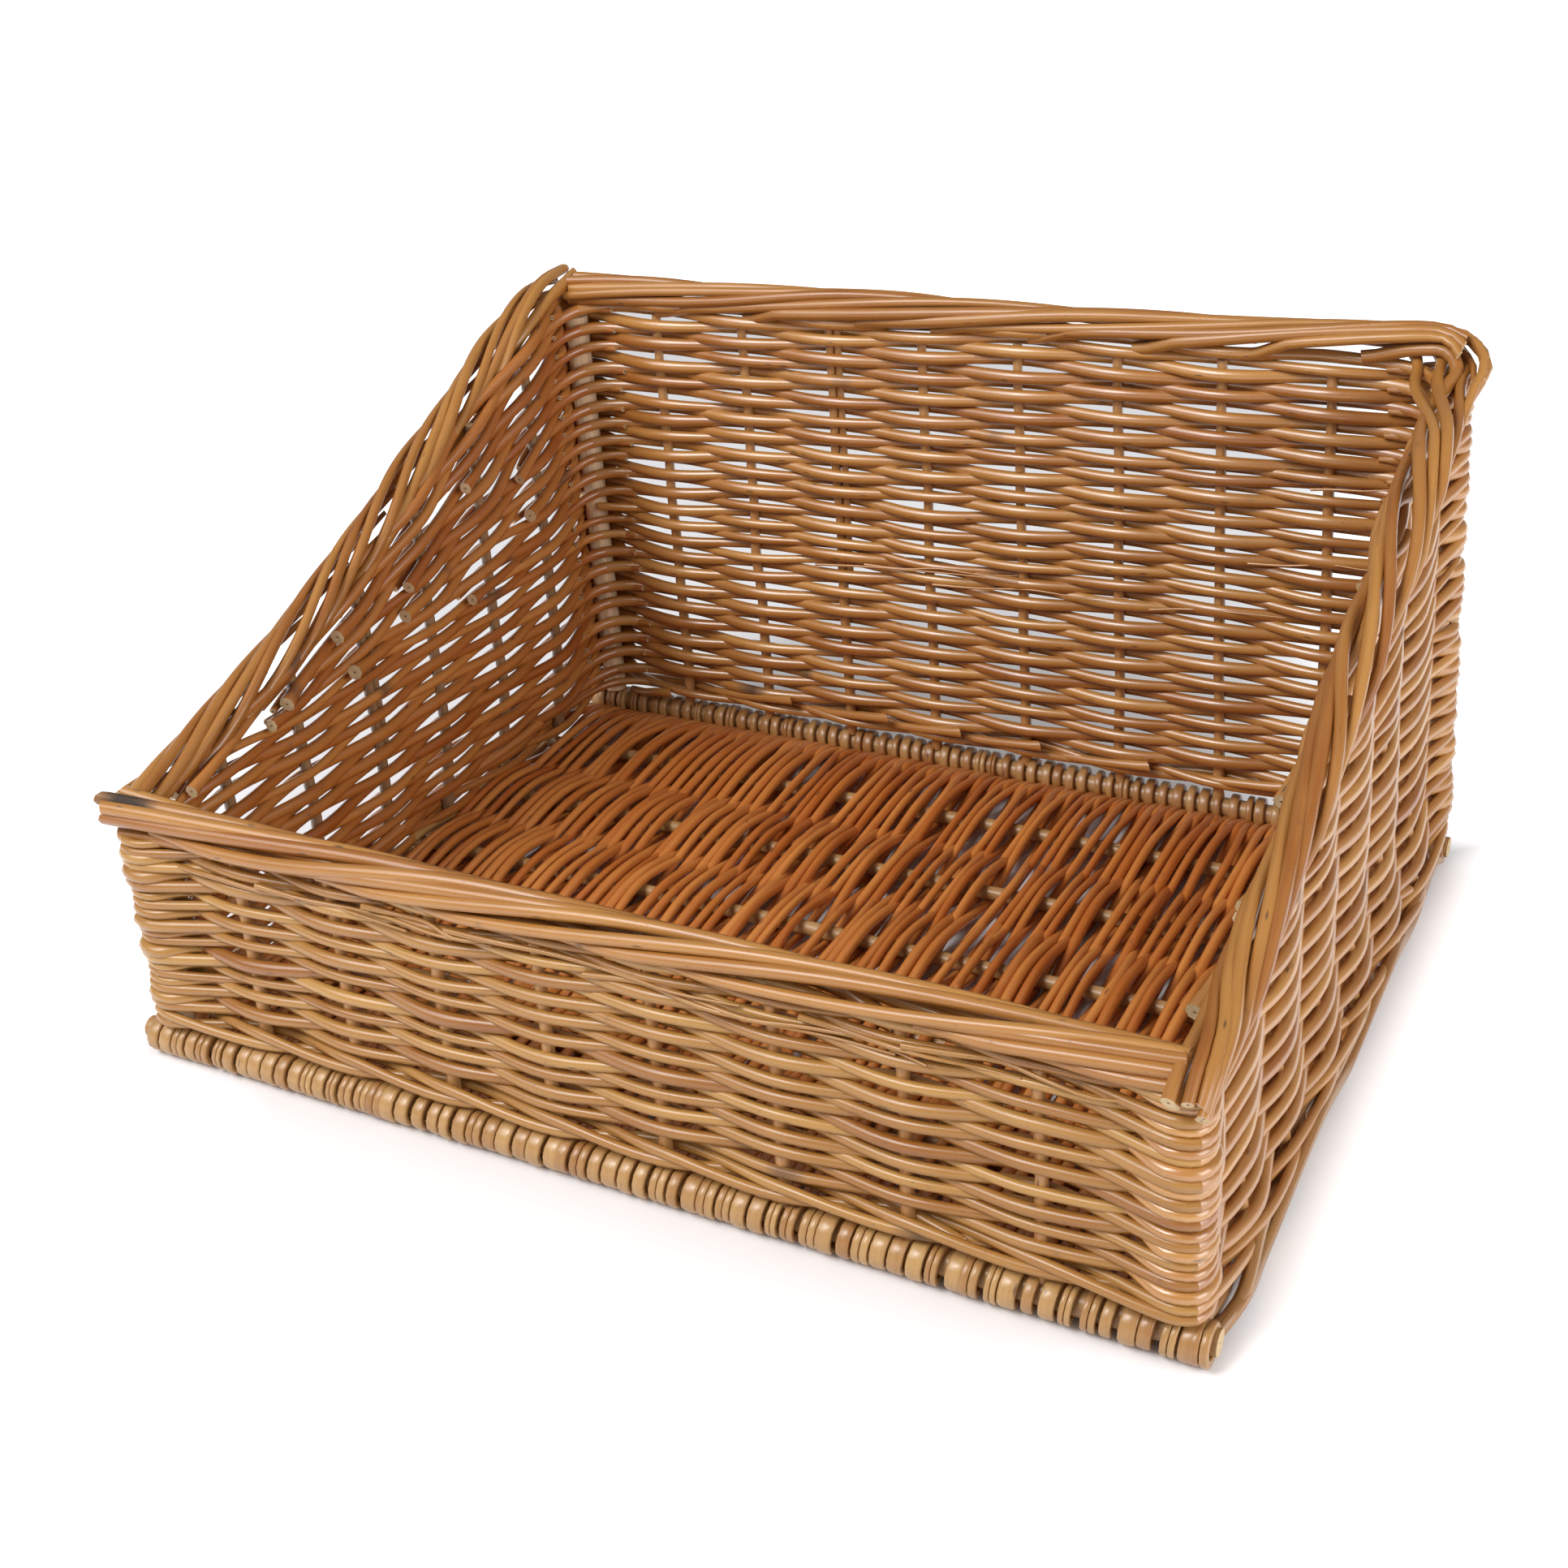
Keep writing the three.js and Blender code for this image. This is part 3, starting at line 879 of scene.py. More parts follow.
@dataclass
class WallWork:
    """The weavers of the walls: an upsett of three rods, then rows before one stake and behind the next."""

    wale_height: float = 23.8
    wale_rod: float = 4.5
    wale_lifts: Triple = (0.0, 0.5, -0.5)
    wale_hug: Pair = (0.42, 0.48)
    wale_play: float = 0.3
    wale_tones: Pair = (0.45, 0.8)
    first_row: float = 29.4
    round_rows: int = 20
    upper_pairs: int = 12
    spread: float = 0.13
    spread_limit: float = 2.0
    front_fill: float = 1.1
    back_fill: float = 1.17
    side_fill: float = 1.1
    fill_ease: float = 60.0
    side_drop: float = 8.0
    side_ease: float = 24.0
    corner_drop: float = 4.0
    corner_ease: float = 60.0
    clearance: float = 0.2
    border_room: Triple = (5.0, -1.0, 1.5)
    grow: float = 56.0
    grow_early: float = 0.72
    last_start: float = 4.0
    start_order: tuple[int, ...] = (11, 5, 8, 2, 10, 4, 7, 1, 9, 3, 6, 0)
    row_waves: tuple[Wave, ...] = (Wave(0.8, 0.031, 1.3, 0.023), Wave(0.5, 0.083, -1.0, -0.06))
    own_wave: Wave = Wave(0.7, 0.021, 1.0)
    thick_wave: Wave = Wave(0.13, 0.009)
    wave_low: float = 24.0
    wave_ease: float = 30.0
    row_range: Pair = (2.6, 6.2)
    row_hug: Pair = (0.4, 0.45)
    row_play: Triple = (1.0, 0.12, 0.35)
    row_tones: Pair = (0.52, 0.2)
    row_tone_range: Pair = (0.1, 0.95)
    row_shape: Pair = (1.04, 0.96)
    swell: float = 0.08
    swell_rest: float = 0.3
    bow: float = 0.74
    back_bow: float = 0.8
    spot_chance: float = 0.7
    spot_halves: Pair = (3.0, 8.0)
    spot_depths: Pair = (0.4, 0.85)
    wrap_reach: Pair = (15.0, 21.0)
    wrap_tail: Pair = (9.0, -1.2)
    wrap_out: float = 0.8
    wrap_near: float = 4.0
    wrap_step: float = 4.0
    wrap_thick: Triple = (0.45, 0.6, 1.6)
    wrap_tones: Pair = (0.3, 0.9)
    butt_reach: float = 26.0
    butt_play: Pair = (0.5, 1.1)
    butt_in: float = 7.4
    butt_least: float = 5.0
    butt_swell: float = 1.16
    tip_out: float = 1.0
    tip_drop: float = 0.5
    tip_thick: float = 3.0
    step: float = 6.0
    seed: int = 7
    rng: np.random.Generator = field(init=False)
    size: np.ndarray = field(init=False)
    phase: np.ndarray = field(init=False)
    starts: dict[Side, list[float]] = field(init=False)
    sheaves: dict[Side, Sheaf] = field(init=False)

    def build(self) -> None:
        """Weaves the walls and makes one piece for each."""
        self.rng = np.random.default_rng(self.seed)
        self.sheaves = {wall.side: Sheaf(f"weave_of_{wall.side.value}_wall") for wall in WALLS}
        rows = self.round_rows + 2 * self.upper_pairs
        differences = self.rng.standard_normal(rows).clip(-self.spread_limit, self.spread_limit)
        self.size = 1.0 + self.spread * differences
        self.phase = self.rng.uniform(0.0, ANY_PHASE, rows)
        self.starts = {Side.LEFT: self.row_starts(), Side.RIGHT: self.row_starts()}
        self.wale()
        for row in range(self.round_rows):
            self.round_row(row)
        for row in range(self.round_rows, rows):
            self.upper_row(row)
        LooseEnds(self.sheaves, self.rng).build()
        for wall in WALLS:
            # The left wall takes the painted-shade copy of the finish, and the front wall the dimmed copy.
            finish = {Side.LEFT: SHADED_LEFT_WILLOW, Side.FRONT: DIMMED_FRONT_WILLOW}.get(wall.side, WALL_WILLOW)
            self.sheaves[wall.side].bind(finish, "wall_rods", f"weave_{wall.side.value}")

    def row_starts(self) -> list[float]:
        """Chooses where each upper row of a side starts, so that the side fills as it rises.

        Returns:
            The depth of the start of each pair of rows.
        """
        starts = [0.0] * self.upper_pairs
        depths = sorted(RIGHT_WALL.depth(t) for t in RIGHT_WALL.places()) + [PLAN.post_y - self.last_start]
        for order, pair in enumerate(self.start_order):
            starts[pair] = depths[(order + 1) // 2]
        return starts

    def room(self, wall: Wall, t: float) -> float:
        """Finds the room that the rows of a wall have between the upsett and the border.

        Args:
            wall: The wall.
            t: Distance along it.

        Returns:
            The height of the room.
        """
        y = wall.depth(t)
        in_front, at_back, beside = self.border_room
        top = wall.border_height(t) - {Side.FRONT: in_front, Side.BACK: at_back}.get(wall.side, beside)
        if wall.side in self.starts:
            near = ramp((y + PLAN.post_y) / self.side_ease)
            top = (PLAN.front_height - in_front) * (1 - near) + top * near
            far = ramp((PLAN.post_y - y) / self.side_ease)
            top = (PLAN.back_height - at_back) * (1 - far) + top * far
        if wall.side in (Side.BACK, Side.RIGHT):
            from_turn = t if wall.side is Side.BACK else wall.length - t
            top -= self.corner_drop * (1.0 - ramp(from_turn / self.corner_ease))
        return top - self.first_row + self.drop(wall, t)

    def fill(self, wall: Wall, t: float) -> float:
        """Finds how full of rods a wall is.

        Args:
            wall: The wall.
            t: Distance along it.

        Returns:
            The thickness of a row as a share of the height that it takes up.
        """
        if wall.side is Side.FRONT:
            return self.front_fill
        if wall.side is Side.BACK:
            return self.back_fill
        in_front = (t < wall.length / 2) == (wall.side is Side.RIGHT)
        near = self.front_fill if in_front else self.back_fill
        return near + (self.side_fill - near) * wall.from_ends(t, self.fill_ease)

    def drop(self, wall: Wall, t: float) -> float:
        """How much lower the weave starts in a side, where it has no wrapped stick under it."""
        return self.side_drop * wall.from_ends(t, self.side_ease) if wall.side in self.starts else 0.0

    def weights(self, wall: Wall, t: float) -> np.ndarray:
        """Finds which rows have come in at a place of a wall.

        Args:
            wall: The wall.
            t: Distance along it.

        Returns:
            The share of its full thickness that each row has there.
        """
        full = np.ones(len(self.size))
        upper = slice(self.round_rows, None)
        if wall.side is Side.FRONT:
            full[upper] = 0.0
        elif wall.side in self.starts:
            starts = np.repeat(self.starts[wall.side], 2)
            full[upper] = ramp((wall.depth(t) - starts + self.grow_early * self.grow) / self.grow)
        return full

    def row_at(self, wall: Wall, t: float, row: int) -> Pair:
        """Finds a row at a place of a wall.

        Args:
            wall: The wall.
            t: Distance along it.
            row: The row.

        Returns:
            The height and the thickness of the row.
        """
        load = self.weights(wall, t) * self.size
        share = self.room(wall, t) / load.sum()
        height = self.first_row - self.drop(wall, t) + share * (load[:row].sum() + load[row] / 2)
        x, y = wall.plan(t, 0.0)
        wave = sum(slow.at(x, y, height) for slow in self.row_waves)
        wave += self.own_wave.at(x, y, height, self.phase[row])
        uneven = 1.0 + self.thick_wave.at(x, y, height, 2 * self.phase[row])
        thick = share * self.size[row] * self.fill(wall, t) * uneven
        lifted = height + wave * float(ramp((height - self.wave_low) / self.wave_ease))
        return lifted, float(np.clip(thick, *self.row_range))

    @staticmethod
    def passing(upright: int, row: int) -> Pass:
        """How a row passes an upright, counted round the basket from the front left post."""
        return Pass.OUTSIDE if (upright + row) % 2 == 0 else Pass.INSIDE

    def stake_stop(self, wall: Wall, t: float, row: int, how: Pass) -> Stop:
        """Finds where a row passes a stake.

        Args:
            wall: The wall.
            t: Distance of the stake along it.
            row: The row.
            how: How it passes the stake.

        Returns:
            The stop of the row.
        """
        height, thick = self.row_at(wall, t, row)
        hug, half = self.row_hug
        along, out, up = self.row_play
        reach = PLAN.stake * hug + thick * half
        reach *= self.back_bow if wall.side is Side.BACK else self.bow
        beside = how.value * (reach + self.rng.normal(0, out))
        place = wall.at(t + self.rng.normal(0, along), beside, height + self.rng.normal(0, up))
        return Stop(place, thick)

    def corner_at(self, number: int, thick: float) -> tuple[np.ndarray, list[np.ndarray], float]:
        """Finds a corner post and the ways round it.

        Args:
            number: Number of the wall after the corner.
            thick: Thickness of the rod that turns there.

        Returns:
            The post's place on the plan, the directions out of the wall before, of the corner and of the wall
            after, and the distance of the rod from the middle of the post.
        """
        wall, before = WALLS[number % 4], WALLS[(number - 1) % 4]
        first, last = np.array(before.out), np.array(wall.out)
        reach = PLAN.post_hug + thick / 2 + self.clearance
        return np.array(wall.corner), [first, (first + last) / math.sqrt(2.0), last], reach

    def corner_stops(self, number: int, height: float, rod: float, how: Pass) -> list[Stop]:
        """Finds where a rod turns a corner.

        Args:
            number: Number of the wall after the corner.
            height: Height of the rod.
            rod: Thickness of the rod.
            how: Whether it goes round the outside or the inside of the post.

        Returns:
            The stops in order, with the middle one marked as the corner.
        """
        centre, ways, reach = self.corner_at(number, rod)
        if how is Pass.INSIDE:
            x, y = centre - ways[1] * reach
            return [Stop(PLAN.leaned(x, y, height), rod, True)]
        stops = []
        for way in ways:
            x, y = centre + way * reach
            stops.append(Stop(PLAN.leaned(x, y, height), rod, way is ways[1]))
        return stops

    def row_turn(self, number: int, row: int, upright: int) -> list[Stop]:
        """Stops of a row at the post before a wall, where the post is counted round the basket."""
        height, thick = self.row_at(WALLS[number % 4], 0.0, row)
        return self.corner_stops(number, height, thick, self.passing(upright, row))

    def lay_round(self, stops: list[Stop], walls: list[Side], tone: float) -> None:
        """Lays one weaver, cut at the corners so that each length goes to the piece of its wall.

        Args:
            stops: The stops of the whole weaver.
            walls: The walls that its lengths lie in, in order.
            tone: Lightness of the rod.
        """
        points = np.array([stop.at for stop in stops])
        thick = np.array([stop.thick for stop in stops])
        line, place = smooth_line(points, self.step)
        size = np.interp(place, np.arange(len(thick)), thick)
        size = size * (1.0 - self.swell_rest * self.swell + self.swell * np.cos(np.pi * place) ** 2)
        wide, deep = self.row_shape
        rod = Rod(line, size * wide, size * deep, UP, tone, grain_start(self.rng))
        rod.stain = self.spots(rod.run)
        marks = [i for i, stop in enumerate(stops) if stop.corner]
        cuts = [0] + [int(np.searchsorted(place, mark - TINY)) for mark in marks] + [len(line) - 1]
        for side, first, last in zip(walls, cuts[:-1], cuts[1:]):
            if last > first:
                self.sheaves[side].lay(rod.cut(first, last))

    def row_tone(self) -> float:
        """Lightness of one row's rod."""
        return float(np.clip(self.rng.normal(*self.row_tones), *self.row_tone_range))

    def spots(self, run: np.ndarray) -> np.ndarray:
        """Puts dark scars at a few places along a rod.

        Args:
            run: Distance of each station along the rod.

        Returns:
            The stain of each station.
        """
        stain = np.zeros_like(run)
        for _ in range(self.rng.poisson(self.spot_chance)):
            at, half = self.rng.uniform(0.0, run[-1]), self.rng.uniform(*self.spot_halves)
            stain = np.maximum(stain, self.rng.uniform(*self.spot_depths) * np.exp(-((run - at) / half) ** 2))
        return stain

    def wall_stops(self, wall: Wall, row: int, upright: int) -> list[Stop]:
        """Stops of a row at the stakes of a wall, the first of which is counted round the basket."""
        passes = [(t, self.passing(upright + i, row)) for i, t in enumerate(wall.places())]
        return [self.stake_stop(wall, t, row, how) for t, how in passes]

    def round_row(self, row: int) -> None:
        """Weaves one row right round the basket.

        Args:
            row: The row.
        """
        first = self.row_turn(0, row, 0)
        stops = first[len(first) // 2:]
        upright = 0
        for number, wall in enumerate(WALLS):
            if number > 0:
                turn = self.row_turn(number, row, upright)
                self.corner_wrap(number, row, upright)
                stops += turn
            stops += self.wall_stops(wall, row, upright + 1)
            upright += 1 + wall.stakes
        self.corner_wrap(0, row, 0)
        stops += first[:len(first) // 2 + 1]
        stops[0].corner = stops[-1].corner = False
        self.lay_round(stops, [wall.side for wall in WALLS], self.row_tone())

    def corner_wrap(self, number: int, row: int, upright: int) -> None:
        """Wraps a post beside a row that passes it on the inside, to close the outside of the corner.

        Args:
            number: Number of the wall after the corner.
            row: The row.
            upright: Count of the post round the basket.
        """
        if self.passing(upright, row) is Pass.OUTSIDE:
            return
        wall, before = WALLS[number % 4], WALLS[(number - 1) % 4]
        height, thick = self.row_at(wall, 0.0, row)
        centre, ways, reach = self.corner_at(number, thick)
        reached = self.rng.uniform(*self.wrap_reach)
        tail, tail_out = self.wrap_tail
        legs = [(reached + tail, tail_out), (reached, self.wrap_out), (self.wrap_near, reach)]
        points = [before.at(before.length - t, out, height) for t, out in legs]
        x, y = centre + ways[1] * reach
        points.append(PLAN.leaned(x, y, height))
        points += [wall.at(t, out, height) for t, out in reversed(legs)]
        line, place = smooth_line(np.array(points), self.wrap_step)
        end, body, ease = self.wrap_thick
        thin = thick * (end + body * ramp(np.minimum(place, place[-1] - place) / ease))
        tone = self.rng.uniform(*self.wrap_tones)
        self.sheaves[wall.side].lay(Rod(line, thin, thin, UP, tone, grain_start(self.rng)))

    def upper_row(self, row: int) -> None:
        """Weaves one row that starts in a side, crosses the back and ends in the other side.

        Args:
            row: The row.
        """
        pair = (row - self.round_rows) // 2
        upright = PLAN.long_stakes + 2
        stops = self.side_stops(RIGHT_WALL, row, upright, self.starts[Side.RIGHT][pair])
        upright += RIGHT_WALL.stakes
        stops += self.row_turn(2, row, upright)
        self.corner_wrap(2, row, upright)
        stops += self.wall_stops(BACK_WALL, row, upright + 1)
        upright += 1 + BACK_WALL.stakes
        stops += self.row_turn(3, row, upright)
        self.corner_wrap(3, row, upright)
        stops += self.side_stops(LEFT_WALL, row, upright + 1, self.starts[Side.LEFT][pair])
        self.lay_round(stops, [Side.RIGHT, Side.BACK, Side.LEFT], self.row_tone())

    def side_stops(self, wall: Wall, row: int, upright: int, start: float) -> list[Stop]:
        """Finds where an upper row passes the stakes of a side, from its cut end on.

        Args:
            wall: The side.
            row: The row.
            upright: Count of the side's first stake round the basket.
            start: Depth in front of which the row has no room.

        Returns:
            The stops in the order of the wall.
        """
        kept = [(i, t) for i, t in enumerate(wall.places()) if wall.depth(t) >= start - 1.0]
        if not kept:
            return []
        stops = [self.stake_stop(wall, t, row, self.passing(upright + i, row)) for i, t in kept]
        goes_down = wall.side is Side.LEFT
        index, t = kept[-1] if goes_down else kept[0]
        t += (1.0 if goes_down else -1.0) * self.butt_reach * self.rng.uniform(*self.butt_play)
        height, thick = self.row_at(wall, t, row)
        if self.passing(upright + index, row) is Pass.INSIDE:
            end = Stop(wall.at(t, -self.butt_in, height), max(thick, self.butt_least) * self.butt_swell)
        else:
            end = Stop(wall.at(t, self.tip_out, height - self.tip_drop), self.tip_thick)
        return stops + [end] if goes_down else [end] + stops

    def wale(self) -> None:
        """Weaves the upsett: three rods that each pass before two uprights and behind one."""
        for rod in range(len(self.wale_lifts)):
            stops: list[Stop] = []
            upright = 0
            for number, wall in enumerate(WALLS):
                stops += self.wale_corner(number, upright, rod)
                stops += [self.wale_stop(wall, t, upright + 1 + i, rod) for i, t in enumerate(wall.places())]
                upright += 1 + wall.stakes
            stops += self.wale_corner(len(WALLS), upright, rod)
            marks = [i for i, stop in enumerate(stops) if stop.corner]
            kept = stops[marks[0]:marks[-1] + 1]
            kept[0].corner = kept[-1].corner = False
            self.lay_round(kept, [wall.side for wall in WALLS], self.rng.uniform(*self.wale_tones))

    def wale_phase(self, upright: int, rod: int) -> tuple[Pass, float]:
        """Finds how a rod of the upsett passes an upright.

        Args:
            upright: Count of the upright round the basket.
            rod: Number of the rod.

        Returns:
            The way it passes, and its height there.
        """
        phase = (upright + rod) % len(self.wale_lifts)
        height = self.wale_height + self.wale_lifts[phase] * self.wale_rod
        return (Pass.OUTSIDE if phase else Pass.INSIDE), height

    def wale_stop(self, wall: Wall, t: float, upright: int, rod: int) -> Stop:
        """Finds where a rod of the upsett passes a stake.

        Args:
            wall: The wall.
            t: Distance of the stake along it.
            upright: Count of the stake round the basket.
            rod: Number of the rod.

        Returns:
            The stop of the rod.
        """
        how, height = self.wale_phase(upright, rod)
        hug, half = self.wale_hug
        reach = PLAN.stake * hug + self.wale_rod * half
        height += self.rng.normal(0, self.wale_play) - self.drop(wall, t)
        return Stop(wall.at(t, how.value * reach, height), self.wale_rod)

    def wale_corner(self, number: int, upright: int, rod: int) -> list[Stop]:
        """Stops of a rod of the upsett that turns a corner."""
        how, height = self.wale_phase(upright, rod)
        return self.corner_stops(number, height, self.wale_rod, how)


@dataclass
class LooseEnds:
    """Grey tips under the front border, split fibres in the back wall and thick cut ends of the upsett."""

    sheaves: dict[Side, Sheaf]
    rng: np.random.Generator
    tip_starts: tuple[float, ...] = (18.0, 70.0, 128.0, 170.0, 236.0, 262.0, 330.0, 372.0)
    tip_lengths: Pair = (75.0, 150.0)
    tip_heights: Pair = (101.5, 107.5)
    tip_limit: float = 462.0
    tip_out: float = 4.6
    tip_sway: Pair = (2.2, 9.0)
    tip_play: float = 1.5
    tip_fall: float = 2.5
    tip_thick: Pair = (2.9, 1.015)
    tip_look: Pair = (0.55, 0.05)
    tip_step: float = 7.0
    fibres: tuple[Triple, ...] = (
        (330.0, 118.0, 120.0), (300.0, 121.0, 90.0), (260.0, 116.0, 110.0), (90.0, 150.0, 80.0),
        (60.0, 190.0, 50.0), (140.0, 119.0, 70.0), (40.0, 112.0, 32.0))
    fibre_in: Pair = (5.5, 3.0)
    fibre_rise: float = 7.0
    fibre_play: float = 1.0
    fibre_thick: Pair = (1.5, 0.45)
    fibre_look: Pair = (0.6, 0.08)
    fibre_step: float = 8.0
    thin_sides: int = 6
    butts: tuple[tuple[Wall, tuple[Pair, ...]], ...] = (
        (BACK_WALL, ((430.0, 24.0), (350.0, 33.0), (290.0, 32.0), (246.0, 31.0), (200.0, 31.0), (140.0, 30.0),
                     (70.0, 31.0))),
        (LEFT_WALL, ((219.0, 32.0), (90.0, 33.0))),
        (RIGHT_WALL, ((130.0, 31.0), (250.0, 31.0))),
        (FRONT_WALL, ((150.0, 31.0), (330.0, 31.0))))
    butt_length: float = 62.0
    butt_margin: float = 10.0
    butt_path: tuple[Triple, ...] = ((0.0, 3.0, 8.0), (3.0, -3.4, 5.0), (10.0, -7.4, 1.5), (0.0, -8.6, 0.0))
    butt_step: float = 6.0
    butt_thick: Pair = (4.4, 5.7)
    butt_tones: Pair = (0.4, 0.8)
    butt_slant: float = 0.9

    def build(self) -> None:
        """Lays all the loose ends in the sheaves of their walls."""
        for start in self.tip_starts:
            self.tip(start)
        for start, height, length in self.fibres:
            self.fibre(start, height, length)
        for wall, faces in self.butts:
            for t, height in faces:
                self.butt(wall, t, height)

    def tip(self, start: float) -> None:
        """Lays a thin tip under the front border.

        Args:
            start: Distance of its thick end along the wall.
        """
        length = self.rng.uniform(*self.tip_lengths)
        height = self.rng.uniform(*self.tip_heights)
        sway, turns = self.tip_sway
        points = []
        for share in np.linspace(0, 1, 6):
            out = self.tip_out + sway * math.sin(share * turns + start)
            z = height + self.rng.uniform(-self.tip_play, self.tip_play) - self.tip_fall * share
            points.append(FRONT_WALL.at(min(start + length * share, self.tip_limit), out, z))
        tone, stain = self.tip_look
        self.sheaves[Side.FRONT].lay(Rod.tapered(points, self.tip_step, self.tip_thick, tone,
                                                 grain_start(self.rng), stain=stain, sides=self.thin_sides))

    def fibre(self, start: float, height: float, length: float) -> None:
        """Lays a split fibre that stands out inside the back wall.

        Args:
            start: Distance of its root along the wall.
            height: Height of its root.
            length: Its length.
        """
        near, more = self.fibre_in
        points = []
        for share in np.linspace(0, 1, 5):
            z = height + self.fibre_rise * share + self.rng.uniform(-self.fibre_play, self.fibre_play)
            points.append(BACK_WALL.at(start - length * share, -near - more * share * share, z))
        tone, stain = self.fibre_look
        self.sheaves[Side.BACK].lay(Rod.tapered(points, self.fibre_step, self.fibre_thick, tone,
                                                grain_start(self.rng), stain=stain, sides=self.thin_sides))

    def butt(self, wall: Wall, t: float, height: float) -> None:
        """Lays a thick cut end that comes through a wall low down and stands out inside it.

        Args:
            wall: The wall.
            t: Distance of the cut face along it.
            height: Height of the cut face.
        """
        first = min(t + self.butt_length, wall.length - self.butt_margin)
        starts = (first, (first + t) / 2, t, t)
        points = [wall.at(start + along, out, height - drop)
                  for start, (along, out, drop) in zip(starts, self.butt_path)]
        tone, seed = self.rng.uniform(*self.butt_tones), grain_start(self.rng)
        rod = Rod.tapered(points, self.butt_step, self.butt_thick, tone, seed, slant=(0.0, self.butt_slant))
        self.sheaves[wall.side].lay(rod)


@dataclass
class Base:
    """The woven base: two edge sticks, thinner sticks between them, and weavers from front to back."""

    edge_stick: float = 10.5
    thin_stick: float = 7.0
    thin_sticks: int = 5
    stick_reach: float = 246.0
    stick_back_left: float = 3.0
    stick_play: float = 0.25
    stick_swell: float = 0.02
    stick_wave: float = 2.3
    stick_step: float = 18.0
    stick_tones: Pair = (0.4, 0.7)
    stick_sides: int = 14
    passes: int = 134
    reach: float = 247.5
    weaver: float = 5.0
    weaver_play: Pair = (0.82, 1.14)
    weaver_tones: Pair = (0.05, 0.7)
    weaver_step: float = 7.5
    weaver_thin: float = 0.2
    weaver_sides: int = 7
    sway: float = 1.0
    loose: float = 2.2
    pairing: float = 1.5
    lift_gap: float = 0.1
    cross_play: float = 1.0
    joint_past: float = 9.0
    joint_lift: float = 0.6
    edge_gap: float = 21.0
    edge_lift: float = 1.2
    outer_passes: int = 2
    band: float = 7.2
    band_widths: tuple[float, ...] = (0.6, 0.74, 0.84, 0.9, 0.96)
    band_at_back: float = 0.78
    band_thick: float = 3.2
    band_play: Pair = (-0.3, 0.35)
    painted_band_light: float = 0.2
    painted_band_light_at_back: float = -0.6
    band_angles: Triple = (-142.0, 219.0, 30.0)
    band_ease: float = 12.0
    band_pressed: float = 0.7
    band_front_out: float = 2.0
    band_sides: int = 14
    wrap_reach: float = 246.5
    wrap_left_in: float = 2.5
    wrap_back_left: float = -1.5
    wrap_play: float = 0.6
    split_chance: float = 0.24
    split_at: float = 0.27
    split_width: float = 0.5
    split_tone: float = 0.4
    foot_out: float = 2.0
    foot_front: float = 2.5
    foot_fade: Pair = (160.0, 80.0)
    foot_front_fade: Pair = (125.0, 50.0)
    foot_edge: Pair = (225.0, 20.0)
    left_out: float = 4.0
    left_fade: Pair = (20.0, 100.0)
    seed: int = 23
    rng: np.random.Generator = field(init=False)
    sticks: list[float] = field(init=False)
    bends: np.ndarray = field(init=False)

    def build(self) -> None:
        """Makes the sticks and the woven sheet."""
        self.rng = np.random.default_rng(self.seed)
        shares = [(i + 1) / (self.thin_sticks + 1) for i in range(self.thin_sticks)]
        self.sticks = [PLAN.post_y * 2 * share - PLAN.post_y for share in shares]
        self.stick("edge_stick_front", -PLAN.post_y, self.edge_stick)
        self.stick("edge_stick_back", PLAN.post_y, self.edge_stick)
        for i, y in enumerate(self.sticks):
            self.stick(f"base_stick_{i + 1}", y, self.thin_stick)
        sheaf = Sheaf("weave_of_base")
        pitch = 2 * self.reach / (self.passes - 1)
        self.bends = self.rng.normal(0, self.sway, (self.passes + 2, self.thin_sticks + 2))
        for turn in range(self.passes):
            end = 1.0 if turn % 2 == 0 else -1.0
            self.hairpin(sheaf, turn, -self.reach + turn * pitch, pitch, end)
        sheaf.bind(SHADED_BASE_WILLOW, "base_rods", "base_weave", other=WRAP_WILLOW)

    def stick(self, node: str, y: float, thick: float) -> None:
        """Makes one straight stick across the basket.

        Args:
            node: The frame's node that it stands for.
            y: Its depth.
            thick: Its thickness.
        """
        half = PLAN.base_width / 2 if thick > self.thin_stick else self.stick_reach
        left_in = self.wrap_left_in if y < PLAN.post_y else -self.stick_back_left
        xs = np.linspace(-half + left_in, half, 8)
        points = np.array([[x, y + PLAN.frame_shift, PLAN.stick_height] for x in xs])
        points[1:-1, 1] += self.rng.normal(0, self.stick_play, len(xs) - 2)
        line, place = smooth_line(points, self.stick_step)
        size = thick * (1 + self.stick_swell * np.sin(place * self.stick_wave))
        sheaf = Sheaf("wood_" + node)
        tone = self.rng.uniform(*self.stick_tones)
        sheaf.lay(Rod(line, size, size, UP, tone, grain_start(self.rng), sides=self.stick_sides))
        sheaf.bind(STICK_WOOD, "sticks", node)

    @staticmethod
    def level(turn: int, stick: int) -> float:
        """Whether a pass lies over a stick, as 1, or under it, as minus 1."""
        return 1.0 if (turn + stick) % 2 == 0 else -1.0

